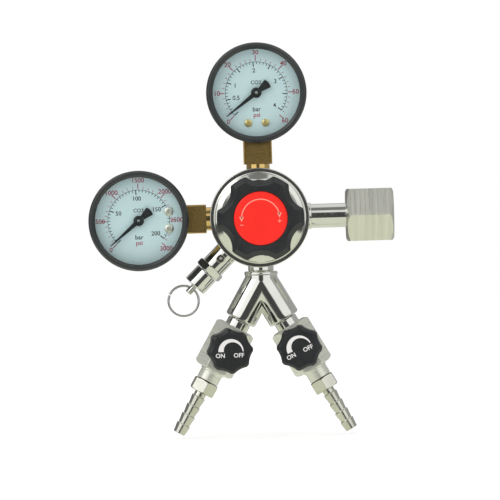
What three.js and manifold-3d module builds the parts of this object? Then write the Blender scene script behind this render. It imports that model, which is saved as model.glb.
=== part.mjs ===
// A two-gauge carbon dioxide regulator with a relief valve and a wye that feeds two shut-off valves with
// hose barbs. Millimetres, +Z up. The adjusting knob faces -Y and the cylinder inlet points to +X. The
// pieces are laid out from the regulator's centre, where the five ports' axes meet, and the whole is then
// moved so that the origin lies on the inlet's axis, at the face of its sealing washer.

import * as THREE from "three";
import { mergeVertices } from "three/addons/utils/BufferGeometryUtils.js";
import Module from "manifold-3d";

const wasm = await Module();
wasm.setup();

// Facets of round pieces
const ROUND = 28;
const MEDIUM_ROUND = 18;
const SMALL_ROUND = 12;
const TINY_ROUND = 8;
const HEXAGON = 6;
const SPRING_SIDES = 5;
const SPRING_STEPS_PER_TURN = 9;
const KNOB_POINTS_PER_LOBE = 8;
const VALVE_KNOB_POINTS_PER_LOBE = 4;

// Clearances
const GAP = 0.3; // between pieces that touch on the real object
const MERGE_DISTANCE = 1e-4;
const OVERLAP = 1; // how far a cutting tool reaches past the face that it opens

// Regulator body, a round block whose axis is Y
const BODY = { radius: 25, back: 14, front: -12, chamfer: 1.5 };
const CHAMBER = { radius: 20, floor: -7 }; // low pressure side, under the diaphragm
const HIGH_BORE = { radius: 6, end: 11 }; // high pressure side, behind the seat

// The five ports: each is a spot-faced boss with a threaded bore, on a radius of the body
const PORT = { bossRadius: 7.2, bossEnd: 25.8, boreRadius: 5.3, boreStart: 17.2, drillRadius: 1.6 };
const THREAD_RADIUS = 5;
const THREAD_START = 17.5;
const SHOULDER = PORT.bossEnd + GAP; // where a fitting's shoulder begins
const TOP_PORT = 0;
const LEFT_PORT = -Math.PI / 2;
const INLET_PORT = Math.PI / 2;
const RELIEF_PORT = (-3 * Math.PI) / 4;
const OUTLET_PORT = Math.PI;

// Bonnet, range spring and adjusting knob
const BONNET = { radius: 27.25, skirtEnd: -7.5, skirtChamfer: 0.8, top: -32, neckRadius: 9, neckEnd: -35 };
// The outside [radius, y] from the straight rim to the edge of the flat top
const BONNET_DOME = [
  [27.25, -15.6],
  [26.65, -17],
  [25.45, -18.2],
  [20.5, -21.3],
  [18.6, -24.5],
  [17.4, -28.5],
];
const BONNET_TOP_RADIUS = 15.9;
// The inside [radius, y] from the flat end round the range spring to the straight side
const BONNET_CAVITY = [
  [14.5, -29.5],
  [14.5, -24],
  [17.5, -20],
  [CHAMBER.radius, -17.5],
];
const DIAPHRAGM = { radius: 24.9, back: BODY.front - 0.05, thickness: 0.8 };
const CLAMP_FACE = DIAPHRAGM.back - DIAPHRAGM.thickness - 0.05;
const PLATE = { radius: 14, back: CLAMP_FACE - GAP, thickness: 1.4 };
const SPRING_GUIDE = { radius: 5.2, height: 1.5, chamfer: 0.5 };
const RANGE_SPRING = { radius: 7.6, wire: 1.1, turns: 3 };
const BUTTON = { radius: 9.5, back: -24, front: -26.5 };
const SCREW = { radius: 5, end: -47.7 };
const KNOB = { lobeRadius: 23.7, scallopRadius: 20, lobes: 6, back: -35, front: -55, bevel: 2.7 };
const KNOB_RECESS = { radius: 10.5, depth: 4.2 }; // clears the bonnet's neck
const KNOB_BORE_DEPTH = 13;
const CAP = { radius: 14.5, back: -52.8, front: -55.6, chamfer: 0.6 };

// Seat and poppet
const SEAT = { boreRadius: 2, lipRadius: 2.8, lipHeight: 1.1, flangeRadius: 7.6, flangeThickness: 1.2 };
const POPPET = { pinRadius: 1, headRadius: 3.6, headFront: -2.2, headBack: 1.4, tip: CLAMP_FACE + 1.2 };
const POPPET_GUIDE = { radius: 1.4, end: 6, headChamfer: 0.6 };
const POPPET_SPRING = { radius: 2.6, wire: 0.45, start: 1.7, turns: 4 };

// Inlet: nipple with a flange that the loose cylinder nut draws onto the cylinder valve
const STEM_RADIUS = 6.6;
const STEM_RING = { radius: 7.2, width: 2.2 };
const INLET_BORE_RADIUS = 2;
const NUT = { acrossFlats: 28.6, start: 47.5, end: 73.7, wallEnd: 51, threadRadius: 10.9, chamfer: 1.6 };
const FLANGE = { radius: 10.2, start: 51.4, end: 56 };
const WASHER = { radius: 9.5, holeRadius: 3.5, start: 56.3, end: 58.3 };

// Gauges, each laid out from the middle of its dial with its socket towards -Z
const GAUGE = { caseRadius: 26.6, caseWall: 1.2, caseBack: 9.5, caseFront: -13.9, bezelRadius: 27.5 };
const CASE_CHAMFER = 1.5;
const BEZEL = { back: -9, front: -18, lip: 1.5, windowRadius: 24, chamfer: 1.2, lipChamfer: 0.4 };
const WINDOW = { radius: 26.4, back: -14.2, front: -16.2 };
const DIAL = { radius: 24.6, back: -9.4, front: -10, arborHoleRadius: 2 };
const DIAL_SCREW = { apart: 4.7, down: 16.5, shankRadius: 0.8, end: -6.6, headEdge: 0.6, headHeight: 1 };
const DIAL_SCREW_HOLE_END = -6.2;
const SCREW_HEAD_GAP = 0.05;
const SCREW_CROWN_SHARE = 0.6; // of the head's radius
const SOCKET = { half: 7, neckRadius: 6.3, neckOut: 30.05, boreRadius: 1.2, boreStart: -19.6 };
const SOCKET_BLOCK = { top: -13.8, bottom: -23.6, front: -8.6, back: -0.5 };
const TOP_GAUGE_OUT = 68.4; // distance of each dial's centre from the regulator's centre
const LEFT_GAUGE_OUT = 66.3;
const BOURDON = { radius: 20.6, middle: -4, halfWidth: 3, halfThickness: 1, steps: 18 };
const BOURDON_START = THREE.MathUtils.degToRad(-68);
const BOURDON_SWEEP = THREE.MathUtils.degToRad(262);
const MOVEMENT = { front: -8.2, back: -2.6, plate: 0.8, foot: -13.5, footTop: -11.6, footHalf: 5 };
const MOVEMENT_OUTLINE = [
  [3, 2.5],
  [-1.5, 3.2],
  [-11.5, -5.5],
  [-11.5, -10],
  [-5, MOVEMENT.foot],
  [5, MOVEMENT.foot],
  [5, -8],
  [3.4, -2],
];
const ARBOR = { radius: 0.7, back: -2.2, front: -13 };
const LOW_POINTER_REST = THREE.MathUtils.degToRad(-127.5); // from straight up
const HIGH_POINTER_REST = THREE.MathUtils.degToRad(-130.5);
const SECTOR_TRAVEL = Math.PI / 4; // that turns a pointer over its whole scale
const POINTER = { back: -11.8, front: -12.4, hubRadius: 2.4, hubBack: -11.6, hubFront: -12.8 };
// One half of a pointer that points straight up, [x, z] from the blade's tip to the end of its bow-tie tail
const POINTER_HALF = [[0.25, 20.8], [1.25, 2.4], [2.9, 1.2], [2.9, -1.2], [1.25, -2.4], [2.65, -8.6]];
const PINION_WHEEL = { back: -4.6, front: -6.2 };
const SECTOR_WHEEL = { back: -4.9, front: -5.9 };
const SECTOR_HUB = [[1.9, -0.6], [1.2, -1.6], [-1.2, -1.6], [-1.9, -0.6]];
const PINION_TEETH = 8;
const GEAR_RATIO = 6;
const SECTOR_PIVOT = { x: -9, z: -8 };
const SECTOR_TEETH_EACH_SIDE = 4;
const TOOTH = { addendum: 0.33, dedendum: 0.45, share: 0.36, tip: 0.6, root: 1.4 };
const CENTRE_DISTANCE = Math.hypot(SECTOR_PIVOT.x, SECTOR_PIVOT.z);
const PINION_PITCH_RADIUS = CENTRE_DISTANCE / (1 + GEAR_RATIO);
const SECTOR_PITCH_RADIUS = CENTRE_DISTANCE - PINION_PITCH_RADIUS;
// The direction from the sector's pivot to the arbor, from straight up
const ANGLE_TO_ARBOR = Math.atan2(-SECTOR_PIVOT.x, -SECTOR_PIVOT.z);

// Relief valve, along its own port's axis
const RELIEF = { neckEnd: 37.5, collarEnd: 41.8, capRadius: 6.6, capEnd: 52, stemEnd: 57.2 };
const RELIEF_COLLAR = { flats: 14.5, turn: THREE.MathUtils.degToRad(12) };
const RELIEF_CHAMFER = { collar: 0.6, cap: 0.8, stem: 0.7 };
const RELIEF_CHAMBER = { radius: 4, start: 30, seatHoleRadius: 1.4 };
const RELIEF_SPIGOT = { length: 2.4, wall: 0.5, endWall: 3 };
const VENT = { radius: 1.9, along: 31.2, bottom: -3 };
const RELIEF_STEM = { thin: 1.3, thick: 1.9, holeAlong: 53.85, holeRadius: 1.25 };
const SEAL = { radius: 3.2, start: RELIEF_CHAMBER.start + GAP, thickness: 1.4 };
const SPRING_SEAT = { start: SEAL.start + SEAL.thickness + GAP, radius: 3, thickness: 1.2 };
const RELIEF_SPRING = { radius: 2.3, wire: 0.35, turns: 5 };
const RING = { radius: 8.3, wire: 0.65, tilt: THREE.MathUtils.degToRad(9), wireSides: 6, sides: 24 };

// Outlet nipple and wye, along the outlet port's axis
const WYE = { topRadius: 9.15, top: 29.6, junction: 35, legRadius: 8.85, legLength: 24.6, chamfer: 1.2 };
const WYE_SPREAD = Math.PI / 6;
const WYE_HEAD_END = 37.5;
const WYE_BORE = { topEnd: 36, legStart: 16, passageRadius: 2.5 };
const OUTLET_NIPPLE = { radius: 7, boreRadius: 2.5, end: 34.6 };

// Shut-off valves, along each leg from the wye's junction
const VALVE = { acrossFlats: 20, start: 29, end: 56, knobAlong: 41.5, chamfer: 1.5 };
const VALVE_NECK = { radius: 6.5, start: 24.9, threadStart: 17.6 };
const VALVE_OUTLET = { bossRadius: 6.7, bossEnd: 57, threadRadius: 6.2, threadEnd: 62.3 };
const VALVE_CHAMBER = { radius: 5, floor: -0.5, seatEnd: 5 };
const VALVE_DISC = { radius: 3.6, front: -3 };
const GLAND = { radius: 6.4, back: -10.3, front: -13, threadRadius: 4.7, threadEnd: -7 };
const SPINDLE = { radius: 2.2, back: -3.3, front: -21.7 };
const VALVE_KNOB = { lobeRadius: 12.4, scallopRadius: 11.3, lobes: 8, back: -16, front: -25.5, bevel: 1.4 };
const VALVE_KNOB_BORE_DEPTH = 6;
const VALVE_FLOW = { radius: 1.9, inletBehind: 3, outletAhead: 3.4 };
const LEFT_KNOB_TURN = THREE.MathUtils.degToRad(11); // of a lobe from the leg's axis
const RIGHT_KNOB_TURN = THREE.MathUtils.degToRad(-13);
const LEFT_TWIST = THREE.MathUtils.degToRad(7.5);
const RIGHT_TWIST = THREE.MathUtils.degToRad(3.5);
const BARB = { flats: 13, start: 62.6, hexEnd: 69.7, chamfer: 0.8, ridgeStart: 72.2, end: 95.2, ridges: 4 };
const BARB_RIDGE = { root: 3.3, radius: 3.9, bore: 1.9, back: 0.6 };

// ---------------------------------------------------------------- materials

function metal(color, roughness) {
  return new THREE.MeshStandardMaterial({ color, roughness, metalness: 1 });
}

function plain(color, roughness) {
  return new THREE.MeshStandardMaterial({ color, roughness, metalness: 0 });
}

const CHROME = metal(0xd8d9d4, 0.08);
const SATIN_NICKEL = metal(0xc4c2b2, 0.3);
const BRASS = metal(0xb98d3c, 0.25);
const STEEL = metal(0xa9abad, 0.35);
const BLACK_PLASTIC = plain(0x24282a, 0.4);
const BLACK_ENAMEL = plain(0x15181a, 0.3);
const RED_PLASTIC = plain(0xf0301c, 0.35);
const DIAL_ENAMEL = plain(0xc4d8da, 0.5);
const WINDOW_PLASTIC = new THREE.MeshStandardMaterial({
  color: 0xf4f8f8,
  roughness: 0.05,
  metalness: 0,
  transparent: true,
  opacity: 0.2,
});
const RUBBER = plain(0x1d1d1d, 0.8);
const NYLON = plain(0xe6e2d6, 0.6);

// ---------------------------------------------------------------- solids

// A closed geometry as a solid of the boolean library, turned outward if it came inside out.
function solidOf(geometry) {
  const bare = new THREE.BufferGeometry();
  bare.setAttribute("position", geometry.getAttribute("position"));
  bare.setIndex(geometry.index);
  const merged = mergeVertices(bare, MERGE_DISTANCE);
  const vertProperties = merged.getAttribute("position").array;
  const triVerts = new Uint32Array(merged.index.array);
  const made = new wasm.Manifold(new wasm.Mesh({ numProp: 3, vertProperties, triVerts }));
  if (made.volume() > 0) return made;
  for (let i = 0; i < triVerts.length; i += 3) {
    [triVerts[i + 1], triVerts[i + 2]] = [triVerts[i + 2], triVerts[i + 1]];
  }
  return new wasm.Manifold(new wasm.Mesh({ numProp: 3, vertProperties, triVerts }));
}

function geometryOf(solid) {
  const { vertProperties, triVerts } = solid.getMesh();
  const geometry = new THREE.BufferGeometry();
  geometry.setAttribute("position", new THREE.BufferAttribute(vertProperties, 3));
  geometry.setIndex(new THREE.BufferAttribute(triVerts, 1));
  geometry.computeVertexNormals();
  return geometry;
}

function join(...geometries) {
  return geometryOf(geometries.map(solidOf).reduce((whole, next) => whole.add(next)));
}

function cut(base, ...tools) {
  return geometryOf(tools.map(solidOf).reduce((rest, tool) => rest.subtract(tool), solidOf(base)));
}

function piece(name, geometry, material) {
  const mesh = new THREE.Mesh(geometryOf(solidOf(geometry)), material);
  mesh.name = name;
  return mesh;
}

// A turned solid about Y. The profile is a list of [radius, y]; one that stays off the axis closes on itself.
function turnedY(profile, sides = ROUND) {
  const points = profile.map(([radius, y]) => new THREE.Vector2(radius, y));
  const onAxis = points[0].x === 0 && points.at(-1).x === 0;
  if (!onAxis) points.push(points[0].clone());
  return new THREE.LatheGeometry(points, sides);
}

// The same about Z, with a vertex of its section towards -Y.
function turnedZ(profile, sides = ROUND) {
  return turnedY(profile, sides).rotateX(Math.PI / 2);
}

function rodProfile(radius, start, end, chamfer = 0) {
  if (chamfer === 0) return [[0, start], [radius, start], [radius, end], [0, end]];
  const slope = Math.sign(end - start) * chamfer;
  return [
    [0, start],
    [radius - chamfer, start],
    [radius, start + slope],
    [radius, end - slope],
    [radius - chamfer, end],
    [0, end],
  ];
}

function rodZ(radius, start, end, sides = SMALL_ROUND, chamfer = 0) {
  return turnedZ(rodProfile(radius, start, end, chamfer), sides);
}

function rodY(radius, start, end, sides = SMALL_ROUND, chamfer = 0) {
  return turnedY(rodProfile(radius, start, end, chamfer), sides);
}

// A hexagonal bar along Z with an edge towards -Y.
function hexBar(acrossFlats, start, end, chamfer) {
  return rodZ(acrossFlats / Math.sqrt(3), start, end, HEXAGON, chamfer);
}

function tubeProfile(outer, inner, start, end) {
  return [[inner, start], [outer, start], [outer, end], [inner, end]];
}

function box(x0, x1, y0, y1, z0, z1) {
  const geometry = new THREE.BoxGeometry(x1 - x0, y1 - y0, z1 - z0);
  return geometry.translate((x0 + x1) / 2, (y0 + y1) / 2, (z0 + z1) / 2);
}

// A flat outline in X and Z, extruded along Y from its back to its front.
function frontPlate(points, back, front, bevel = 0) {
  const shape = new THREE.Shape(points.map(([x, z]) => new THREE.Vector2(x, z)));
  const options = { depth: back - front - bevel, bevelEnabled: false };
  if (bevel > 0) {
    Object.assign(options, { bevelEnabled: true, bevelThickness: bevel, bevelSize: bevel });
    Object.assign(options, { bevelOffset: -bevel, bevelSegments: 1, depth: back - front - 2 * bevel });
  }
  const geometry = new THREE.ExtrudeGeometry(shape, options);
  geometry.translate(0, 0, bevel - back);
  return geometry.rotateX(Math.PI / 2);
}

// A polar outline: radiusAt takes an angle from straight up and gives a radius.
function polarOutline(radiusAt, points) {
  return Array.from({ length: points }, (_, i) => {
    const angle = (2 * Math.PI * i) / points;
    return [radiusAt(angle) * Math.sin(angle), radiusAt(angle) * Math.cos(angle)];
  });
}

function lobedOutline({ lobeRadius, scallopRadius, lobes }, pointsPerLobe, phase) {
  const middle = (lobeRadius + scallopRadius) / 2;
  const depth = (lobeRadius - scallopRadius) / 2;
  return polarOutline((angle) => middle + depth * Math.cos(lobes * (angle - phase)), lobes * pointsPerLobe);
}

function sectionOutline(halfWidth, halfHeight, sides) {
  return new THREE.Shape(
    Array.from({ length: sides }, (_, i) => {
      const angle = (2 * Math.PI * (i + 0.5)) / sides;
      return new THREE.Vector2(halfWidth * Math.cos(angle), halfHeight * Math.sin(angle));
    }),
  );
}

class Helix extends THREE.Curve {
  constructor(radius, start, end, turns) {
    super();
    Object.assign(this, { radius, start, end, turns });
  }

  getPoint(t, target = new THREE.Vector3()) {
    const angle = 2 * Math.PI * this.turns * t;
    const height = this.start + (this.end - this.start) * t;
    return target.set(this.radius * Math.cos(angle), height, this.radius * Math.sin(angle));
  }
}

// A coil spring about Y whose wire stays between the two ends.
function coilSpring(radius, wire, start, end, turns) {
  const inward = Math.sign(end - start) * wire;
  const path = new Helix(radius, start + inward, end - inward, turns);
  return new THREE.ExtrudeGeometry(sectionOutline(wire, wire, SPRING_SIDES), {
    steps: Math.round(turns * SPRING_STEPS_PER_TURN),
    extrudePath: path,
  });
}

// ---------------------------------------------------------------- regulator

// A tool or boss along the axis of one port.
function atPort(geometry, angle) {
  return geometry.rotateY(angle);
}

function regulatorBody() {
  const { radius, back, front, chamfer } = BODY;
  const block = turnedY([
    [0, back],
    [radius - chamfer, back],
    [radius, back - chamfer],
    [radius, front],
    [0, front],
  ]);
  const ports = [TOP_PORT, LEFT_PORT, INLET_PORT, RELIEF_PORT, OUTLET_PORT];
  const bosses = ports.map((angle) => {
    return atPort(rodZ(PORT.bossRadius, PORT.boreStart, PORT.bossEnd, SMALL_ROUND), angle);
  });
  const bores = ports.map((angle) => {
    return atPort(rodZ(PORT.boreRadius, PORT.boreStart, PORT.bossEnd + OVERLAP, SMALL_ROUND), angle);
  });
  const highDrillings = [LEFT_PORT, INLET_PORT].map((angle) => {
    const drilled = rodZ(PORT.drillRadius, HIGH_BORE.radius - OVERLAP, PORT.boreStart + OVERLAP, TINY_ROUND);
    return atPort(drilled, angle);
  });
  const lowDrillings = [TOP_PORT, RELIEF_PORT, OUTLET_PORT].map((angle) => {
    const drilling = rodY(PORT.drillRadius, CHAMBER.floor - OVERLAP, 0, TINY_ROUND);
    return atPort(drilling.translate(0, 0, CHAMBER.radius - PORT.drillRadius - OVERLAP / 2), angle);
  });
  const chamber = rodY(CHAMBER.radius, CHAMBER.floor, front - OVERLAP, ROUND);
  const highBore = rodY(HIGH_BORE.radius, HIGH_BORE.end, CHAMBER.floor - OVERLAP, SMALL_ROUND);
  return cut(join(block, ...bosses), chamber, highBore, ...bores, ...highDrillings, ...lowDrillings);
}

function bonnet() {
  const { radius, skirtEnd, skirtChamfer, top, neckRadius, neckEnd } = BONNET;
  const inner = BODY.radius + GAP;
  const screwHole = SCREW.radius + GAP;
  return turnedY([
    [inner, skirtEnd],
    [radius - skirtChamfer, skirtEnd],
    [radius, skirtEnd - skirtChamfer],
    ...BONNET_DOME,
    [BONNET_TOP_RADIUS, top],
    [neckRadius, top],
    [neckRadius, neckEnd],
    [screwHole, neckEnd],
    [screwHole, BONNET_CAVITY[0][1]],
    ...BONNET_CAVITY,
    [CHAMBER.radius, CLAMP_FACE],
    [inner, CLAMP_FACE],
  ]);
}

function diaphragmPlate() {
  const { radius, back, thickness } = PLATE;
  const face = back - thickness;
  const { height, chamfer } = SPRING_GUIDE;
  return turnedY([
    [0, back],
    [radius, back],
    [radius, face],
    [SPRING_GUIDE.radius, face],
    [SPRING_GUIDE.radius - chamfer, face - height],
    [0, face - height],
  ]);
}

function springButton() {
  const { radius, back, front } = BUTTON;
  const { height, chamfer } = SPRING_GUIDE;
  return turnedY([
    [0, back + height],
    [SPRING_GUIDE.radius - chamfer, back + height],
    [SPRING_GUIDE.radius, back],
    [radius, back],
    [radius, front],
    [0, front],
  ]);
}

function seatNozzle() {
  const { boreRadius, lipRadius, lipHeight, flangeRadius, flangeThickness } = SEAT;
  const threadRadius = HIGH_BORE.radius - GAP;
  const flangeBack = CHAMBER.floor - GAP;
  const lip = POPPET.headFront - GAP;
  return turnedY(
    [
      [boreRadius, flangeBack - flangeThickness],
      [flangeRadius, flangeBack - flangeThickness],
      [flangeRadius, flangeBack],
      [threadRadius, flangeBack],
      [threadRadius, lip - lipHeight],
      [lipRadius, lip - lipHeight],
      [boreRadius, lip],
    ],
    SMALL_ROUND,
  );
}

function poppet() {
  const { pinRadius, headRadius, headFront, headBack, tip } = POPPET;
  return turnedY(
    [
      [0, tip],
      [pinRadius, tip],
      [pinRadius, headFront],
      [headRadius, headFront + POPPET_GUIDE.headChamfer],
      [headRadius, headBack],
      [POPPET_GUIDE.radius, headBack],
      [POPPET_GUIDE.radius, POPPET_GUIDE.end],
      [0, POPPET_GUIDE.end],
    ],
    SMALL_ROUND,
  );
}

function adjustingKnob() {
  const { back, front, bevel } = KNOB;
  const lobed = frontPlate(lobedOutline(KNOB, KNOB_POINTS_PER_LOBE, Math.PI / 2), back, front, bevel);
  const neckRecess = rodY(KNOB_RECESS.radius, back + OVERLAP, back - KNOB_RECESS.depth, ROUND);
  const screwBore = rodY(SCREW.radius + GAP, back, back - KNOB_BORE_DEPTH, SMALL_ROUND);
  const capRecess = rodY(CAP.radius + GAP, CAP.back + GAP, front - OVERLAP, ROUND);
  return cut(lobed, neckRecess, screwBore, capRecess);
}

function poppetSpring() {
  const { radius, wire, start, turns } = POPPET_SPRING;
  return coilSpring(radius, wire, start, HIGH_BORE.end - GAP, turns);
}

function rangeSpring() {
  const { radius, wire, turns } = RANGE_SPRING;
  return coilSpring(radius, wire, PLATE.back - PLATE.thickness - GAP, BUTTON.back + GAP, turns);
}

function addRegulator(parent) {
  parent.add(piece("regulator_body", regulatorBody(), CHROME));
  parent.add(piece("bonnet", bonnet(), CHROME));
  const diaphragmFront = DIAPHRAGM.back - DIAPHRAGM.thickness;
  parent.add(piece("diaphragm", rodY(DIAPHRAGM.radius, DIAPHRAGM.back, diaphragmFront, ROUND), RUBBER));
  parent.add(piece("diaphragm_plate", diaphragmPlate(), BRASS));
  parent.add(piece("seat_nozzle", seatNozzle(), BRASS));
  parent.add(piece("poppet", poppet(), BRASS));
  parent.add(piece("poppet_spring", poppetSpring(), STEEL));
  parent.add(piece("range_spring", rangeSpring(), STEEL));
  parent.add(piece("spring_button", springButton(), STEEL));
  parent.add(piece("adjusting_screw", rodY(SCREW.radius, BUTTON.front - GAP, SCREW.end, SMALL_ROUND), STEEL));
  parent.add(piece("adjusting_knob", adjustingKnob(), BLACK_PLASTIC));
  parent.add(piece("knob_cap", rodY(CAP.radius, CAP.back, CAP.front, ROUND, CAP.chamfer), RED_PLASTIC));
}

// ---------------------------------------------------------------- inlet

function inletNipple() {
  const nipple = turnedZ([
    [0, THREAD_START],
    [THREAD_RADIUS, THREAD_START],
    [THREAD_RADIUS, SHOULDER],
    [STEM_RING.radius, SHOULDER],
    [STEM_RING.radius, SHOULDER + STEM_RING.width],
    [STEM_RADIUS, SHOULDER + STEM_RING.width],
    [STEM_RADIUS, FLANGE.start],
    [FLANGE.radius, FLANGE.start],
    [FLANGE.radius, FLANGE.end],
    [0, FLANGE.end],
  ], MEDIUM_ROUND);
  return cut(nipple, rodZ(INLET_BORE_RADIUS, THREAD_START - OVERLAP, FLANGE.end + OVERLAP, TINY_ROUND));
}

function inletNut() {
  const { acrossFlats, start, end, wallEnd, threadRadius, chamfer } = NUT;
  const hexagon = hexBar(acrossFlats, start, end, chamfer);
  const stemHole = rodZ(STEM_RADIUS + GAP, start - OVERLAP, wallEnd + OVERLAP, ROUND);
  const thread = rodZ(threadRadius, wallEnd, end + OVERLAP, ROUND);
  return cut(hexagon, stemHole, thread);
}

function addInlet(parent) {
  const inlet = new THREE.Group();
  inlet.rotation.y = INLET_PORT;
  inlet.add(piece("inlet_nipple", inletNipple(), CHROME));
  inlet.add(piece("inlet_nut", inletNut(), SATIN_NICKEL));
  const { radius, holeRadius, start, end } = WASHER;
  inlet.add(piece("inlet_washer", turnedZ(tubeProfile(radius, holeRadius, start, end), MEDIUM_ROUND), NYLON));
  parent.add(inlet);
}

// ---------------------------------------------------------------- gauges

function gaugeCase() {
  const { caseRadius, caseWall, caseBack, caseFront } = GAUGE;
  const inner = caseRadius - caseWall;
  const shell = turnedY([
    [0, caseBack],
    [caseRadius - CASE_CHAMFER, caseBack],
    [caseRadius, caseBack - CASE_CHAMFER],
    [caseRadius, caseFront],
    [inner, caseFront],
    [inner, caseBack - caseWall],
    [0, caseBack - caseWall],
  ]);
  const side = SOCKET.half + GAP;
  const socketHole = box(-side, side, -side, side, -caseRadius - OVERLAP, SOCKET_BLOCK.bottom);
  return cut(shell, socketHole);
}

function gaugeBezel() {
  const { back, front, lip, windowRadius, chamfer, lipChamfer } = BEZEL;
  const inner = GAUGE.caseRadius + GAP;
  const outer = GAUGE.bezelRadius;
  return turnedY([
    [inner, back],
    [outer, back],
    [outer, front + chamfer],
    [outer - chamfer, front],
    [windowRadius + lipChamfer, front],
    [windowRadius, front + lipChamfer],
    [windowRadius, front + lip],
    [inner, front + lip],
  ]);
}

// The places of the two screws that hold the dial, as [x, z].
function dialScrewPlaces() {
  return [-1, 1].map((side) => [side * DIAL_SCREW.apart, -DIAL_SCREW.down]);
}

function gaugeDial() {
  const face = rodY(DIAL.radius, DIAL.back, DIAL.front, ROUND);
  const arborHole = rodY(DIAL.arborHoleRadius, DIAL.back + OVERLAP, DIAL.front - OVERLAP, TINY_ROUND);
  const screwHoles = dialScrewPlaces().map(([x, z]) => {
    const hole = rodY(DIAL_SCREW.shankRadius + GAP, DIAL.back + OVERLAP, DIAL.front - OVERLAP, TINY_ROUND);
    return hole.translate(x, 0, z);
  });
  return cut(face, arborHole, ...screwHoles);
}

function dialScrew(headRadius) {
  const { shankRadius, end, headEdge, headHeight } = DIAL_SCREW;
  const head = DIAL.front - SCREW_HEAD_GAP;
  const crownRadius = headRadius * SCREW_CROWN_SHARE;
  return turnedY(
    [
      [0, end],
      [shankRadius, end],
      [shankRadius, head],
      [headRadius, head],
      [headRadius, head - headEdge],
      [crownRadius, head - headHeight],
      [0, head - headHeight],
    ],
    TINY_ROUND,
  );
}

// The brass socket: square bar, neck and thread outside the case, block for the tube and movement inside.
function gaugeSocket(distance) {
  const { half, neckRadius, neckOut, boreRadius, boreStart } = SOCKET;
  const { top, bottom, front, back } = SOCKET_BLOCK;
  const barEnd = neckOut - distance;
  const block = box(-half, half, front, back, bottom, top);
  const bar = box(-half, half, -half, half, barEnd, bottom + OVERLAP);
  const neck = rodZ(neckRadius, barEnd + OVERLAP, SHOULDER - distance, SMALL_ROUND);
  const thread = rodZ(THREAD_RADIUS, SHOULDER - distance + OVERLAP, THREAD_START - distance, SMALL_ROUND);
  const drilling = rodZ(boreRadius, boreStart, THREAD_START - distance - OVERLAP, TINY_ROUND);
  const screwHoles = dialScrewPlaces().map(([x, z]) => {
    const hole = rodY(DIAL_SCREW.shankRadius + GAP, DIAL_SCREW_HOLE_END, front - OVERLAP, TINY_ROUND);
    return hole.translate(x, 0, z);
  });
  return cut(join(block, bar, neck, thread), drilling, ...screwHoles);
}

// A flattened tube bent round the movement from the socket block to its free end.
function bourdonTube() {
  const { radius, middle, halfWidth, halfThickness, steps } = BOURDON;
  const path = new THREE.Curve();
  path.getPoint = (t, target = new THREE.Vector3()) => {
    const angle = BOURDON_START + BOURDON_SWEEP * t;
    return target.set(radius * Math.cos(angle), middle, radius * Math.sin(angle));
  };
  const section = sectionOutline(halfWidth, halfThickness, TINY_ROUND);
  return new THREE.ExtrudeGeometry(section, { steps, extrudePath: path });
}

function movementFrame() {
  const { front, back, plate, foot, footTop, footHalf } = MOVEMENT;
  const frontSide = frontPlate(MOVEMENT_OUTLINE, front + plate, front);
  const backSide = frontPlate(MOVEMENT_OUTLINE, back, back - plate);
  const footBlock = box(-footHalf, footHalf, front, back, foot, footTop);
  const pivots = [[0, 0], [SECTOR_PIVOT.x, SECTOR_PIVOT.z]].map(([x, z]) => {
    return rodY(ARBOR.radius + GAP, back + OVERLAP, front - OVERLAP, TINY_ROUND).translate(x, 0, z);
  });
  return cut(join(frontSide, backSide, footBlock), ...pivots);
}

// The [x, z] corners of one tooth, at an angle from straight up.
function toothCorners(pitchRadius, pitchAngle, angle) {
  const tip = pitchRadius + TOOTH.addendum;
  const root = pitchRadius - TOOTH.dedendum;
  const half = (pitchAngle * TOOTH.share) / 2;
  const corners = [[root, -TOOTH.root], [tip, -TOOTH.tip], [tip, TOOTH.tip], [root, TOOTH.root]];
  return corners.map(([radius, side]) => {
    const at = angle + side * half;
    return [radius * Math.sin(at), radius * Math.cos(at)];
  });
}

function pinionArbor() {
  const pitchAngle = (2 * Math.PI) / PINION_TEETH;
  const teeth = Array.from({ length: PINION_TEETH }, (_, i) => {
    return toothCorners(PINION_PITCH_RADIUS, pitchAngle, i * pitchAngle);
  });
  const wheel = frontPlate(teeth.flat(), PINION_WHEEL.back, PINION_WHEEL.front);
  return join(wheel, rodY(ARBOR.radius, ARBOR.back, ARBOR.front, TINY_ROUND));
}

function sectorGear() {
  const pitchAngle = (2 * Math.PI) / (PINION_TEETH * GEAR_RATIO);
  const teeth = [];
  for (let i = -SECTOR_TEETH_EACH_SIDE; i <= SECTOR_TEETH_EACH_SIDE; i += 1) {
    teeth.push(toothCorners(SECTOR_PITCH_RADIUS, pitchAngle, i * pitchAngle));
  }
  const wheel = frontPlate([...teeth.flat(), ...SECTOR_HUB], SECTOR_WHEEL.back, SECTOR_WHEEL.front);
  return join(wheel, rodY(ARBOR.radius, MOVEMENT.back + GAP, MOVEMENT.front - GAP, TINY_ROUND));
}

// The pointer before it is turned to its rest: a long blade upwards and a bow-tie tail downwards.
function gaugePointer() {
  const { back, front, hubRadius, hubBack, hubFront } = POINTER;
  const mirrored = POINTER_HALF.map(([x, z]) => [-x, z]).reverse();
  const blade = frontPlate([...POINTER_HALF, ...mirrored], back, front);
  const hub = rodY(hubRadius, hubBack, hubFront, SMALL_ROUND);
  return cut(join(blade, hub), rodY(ARBOR.radius + GAP, hubBack + OVERLAP, hubFront - OVERLAP, TINY_ROUND));
}

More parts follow.
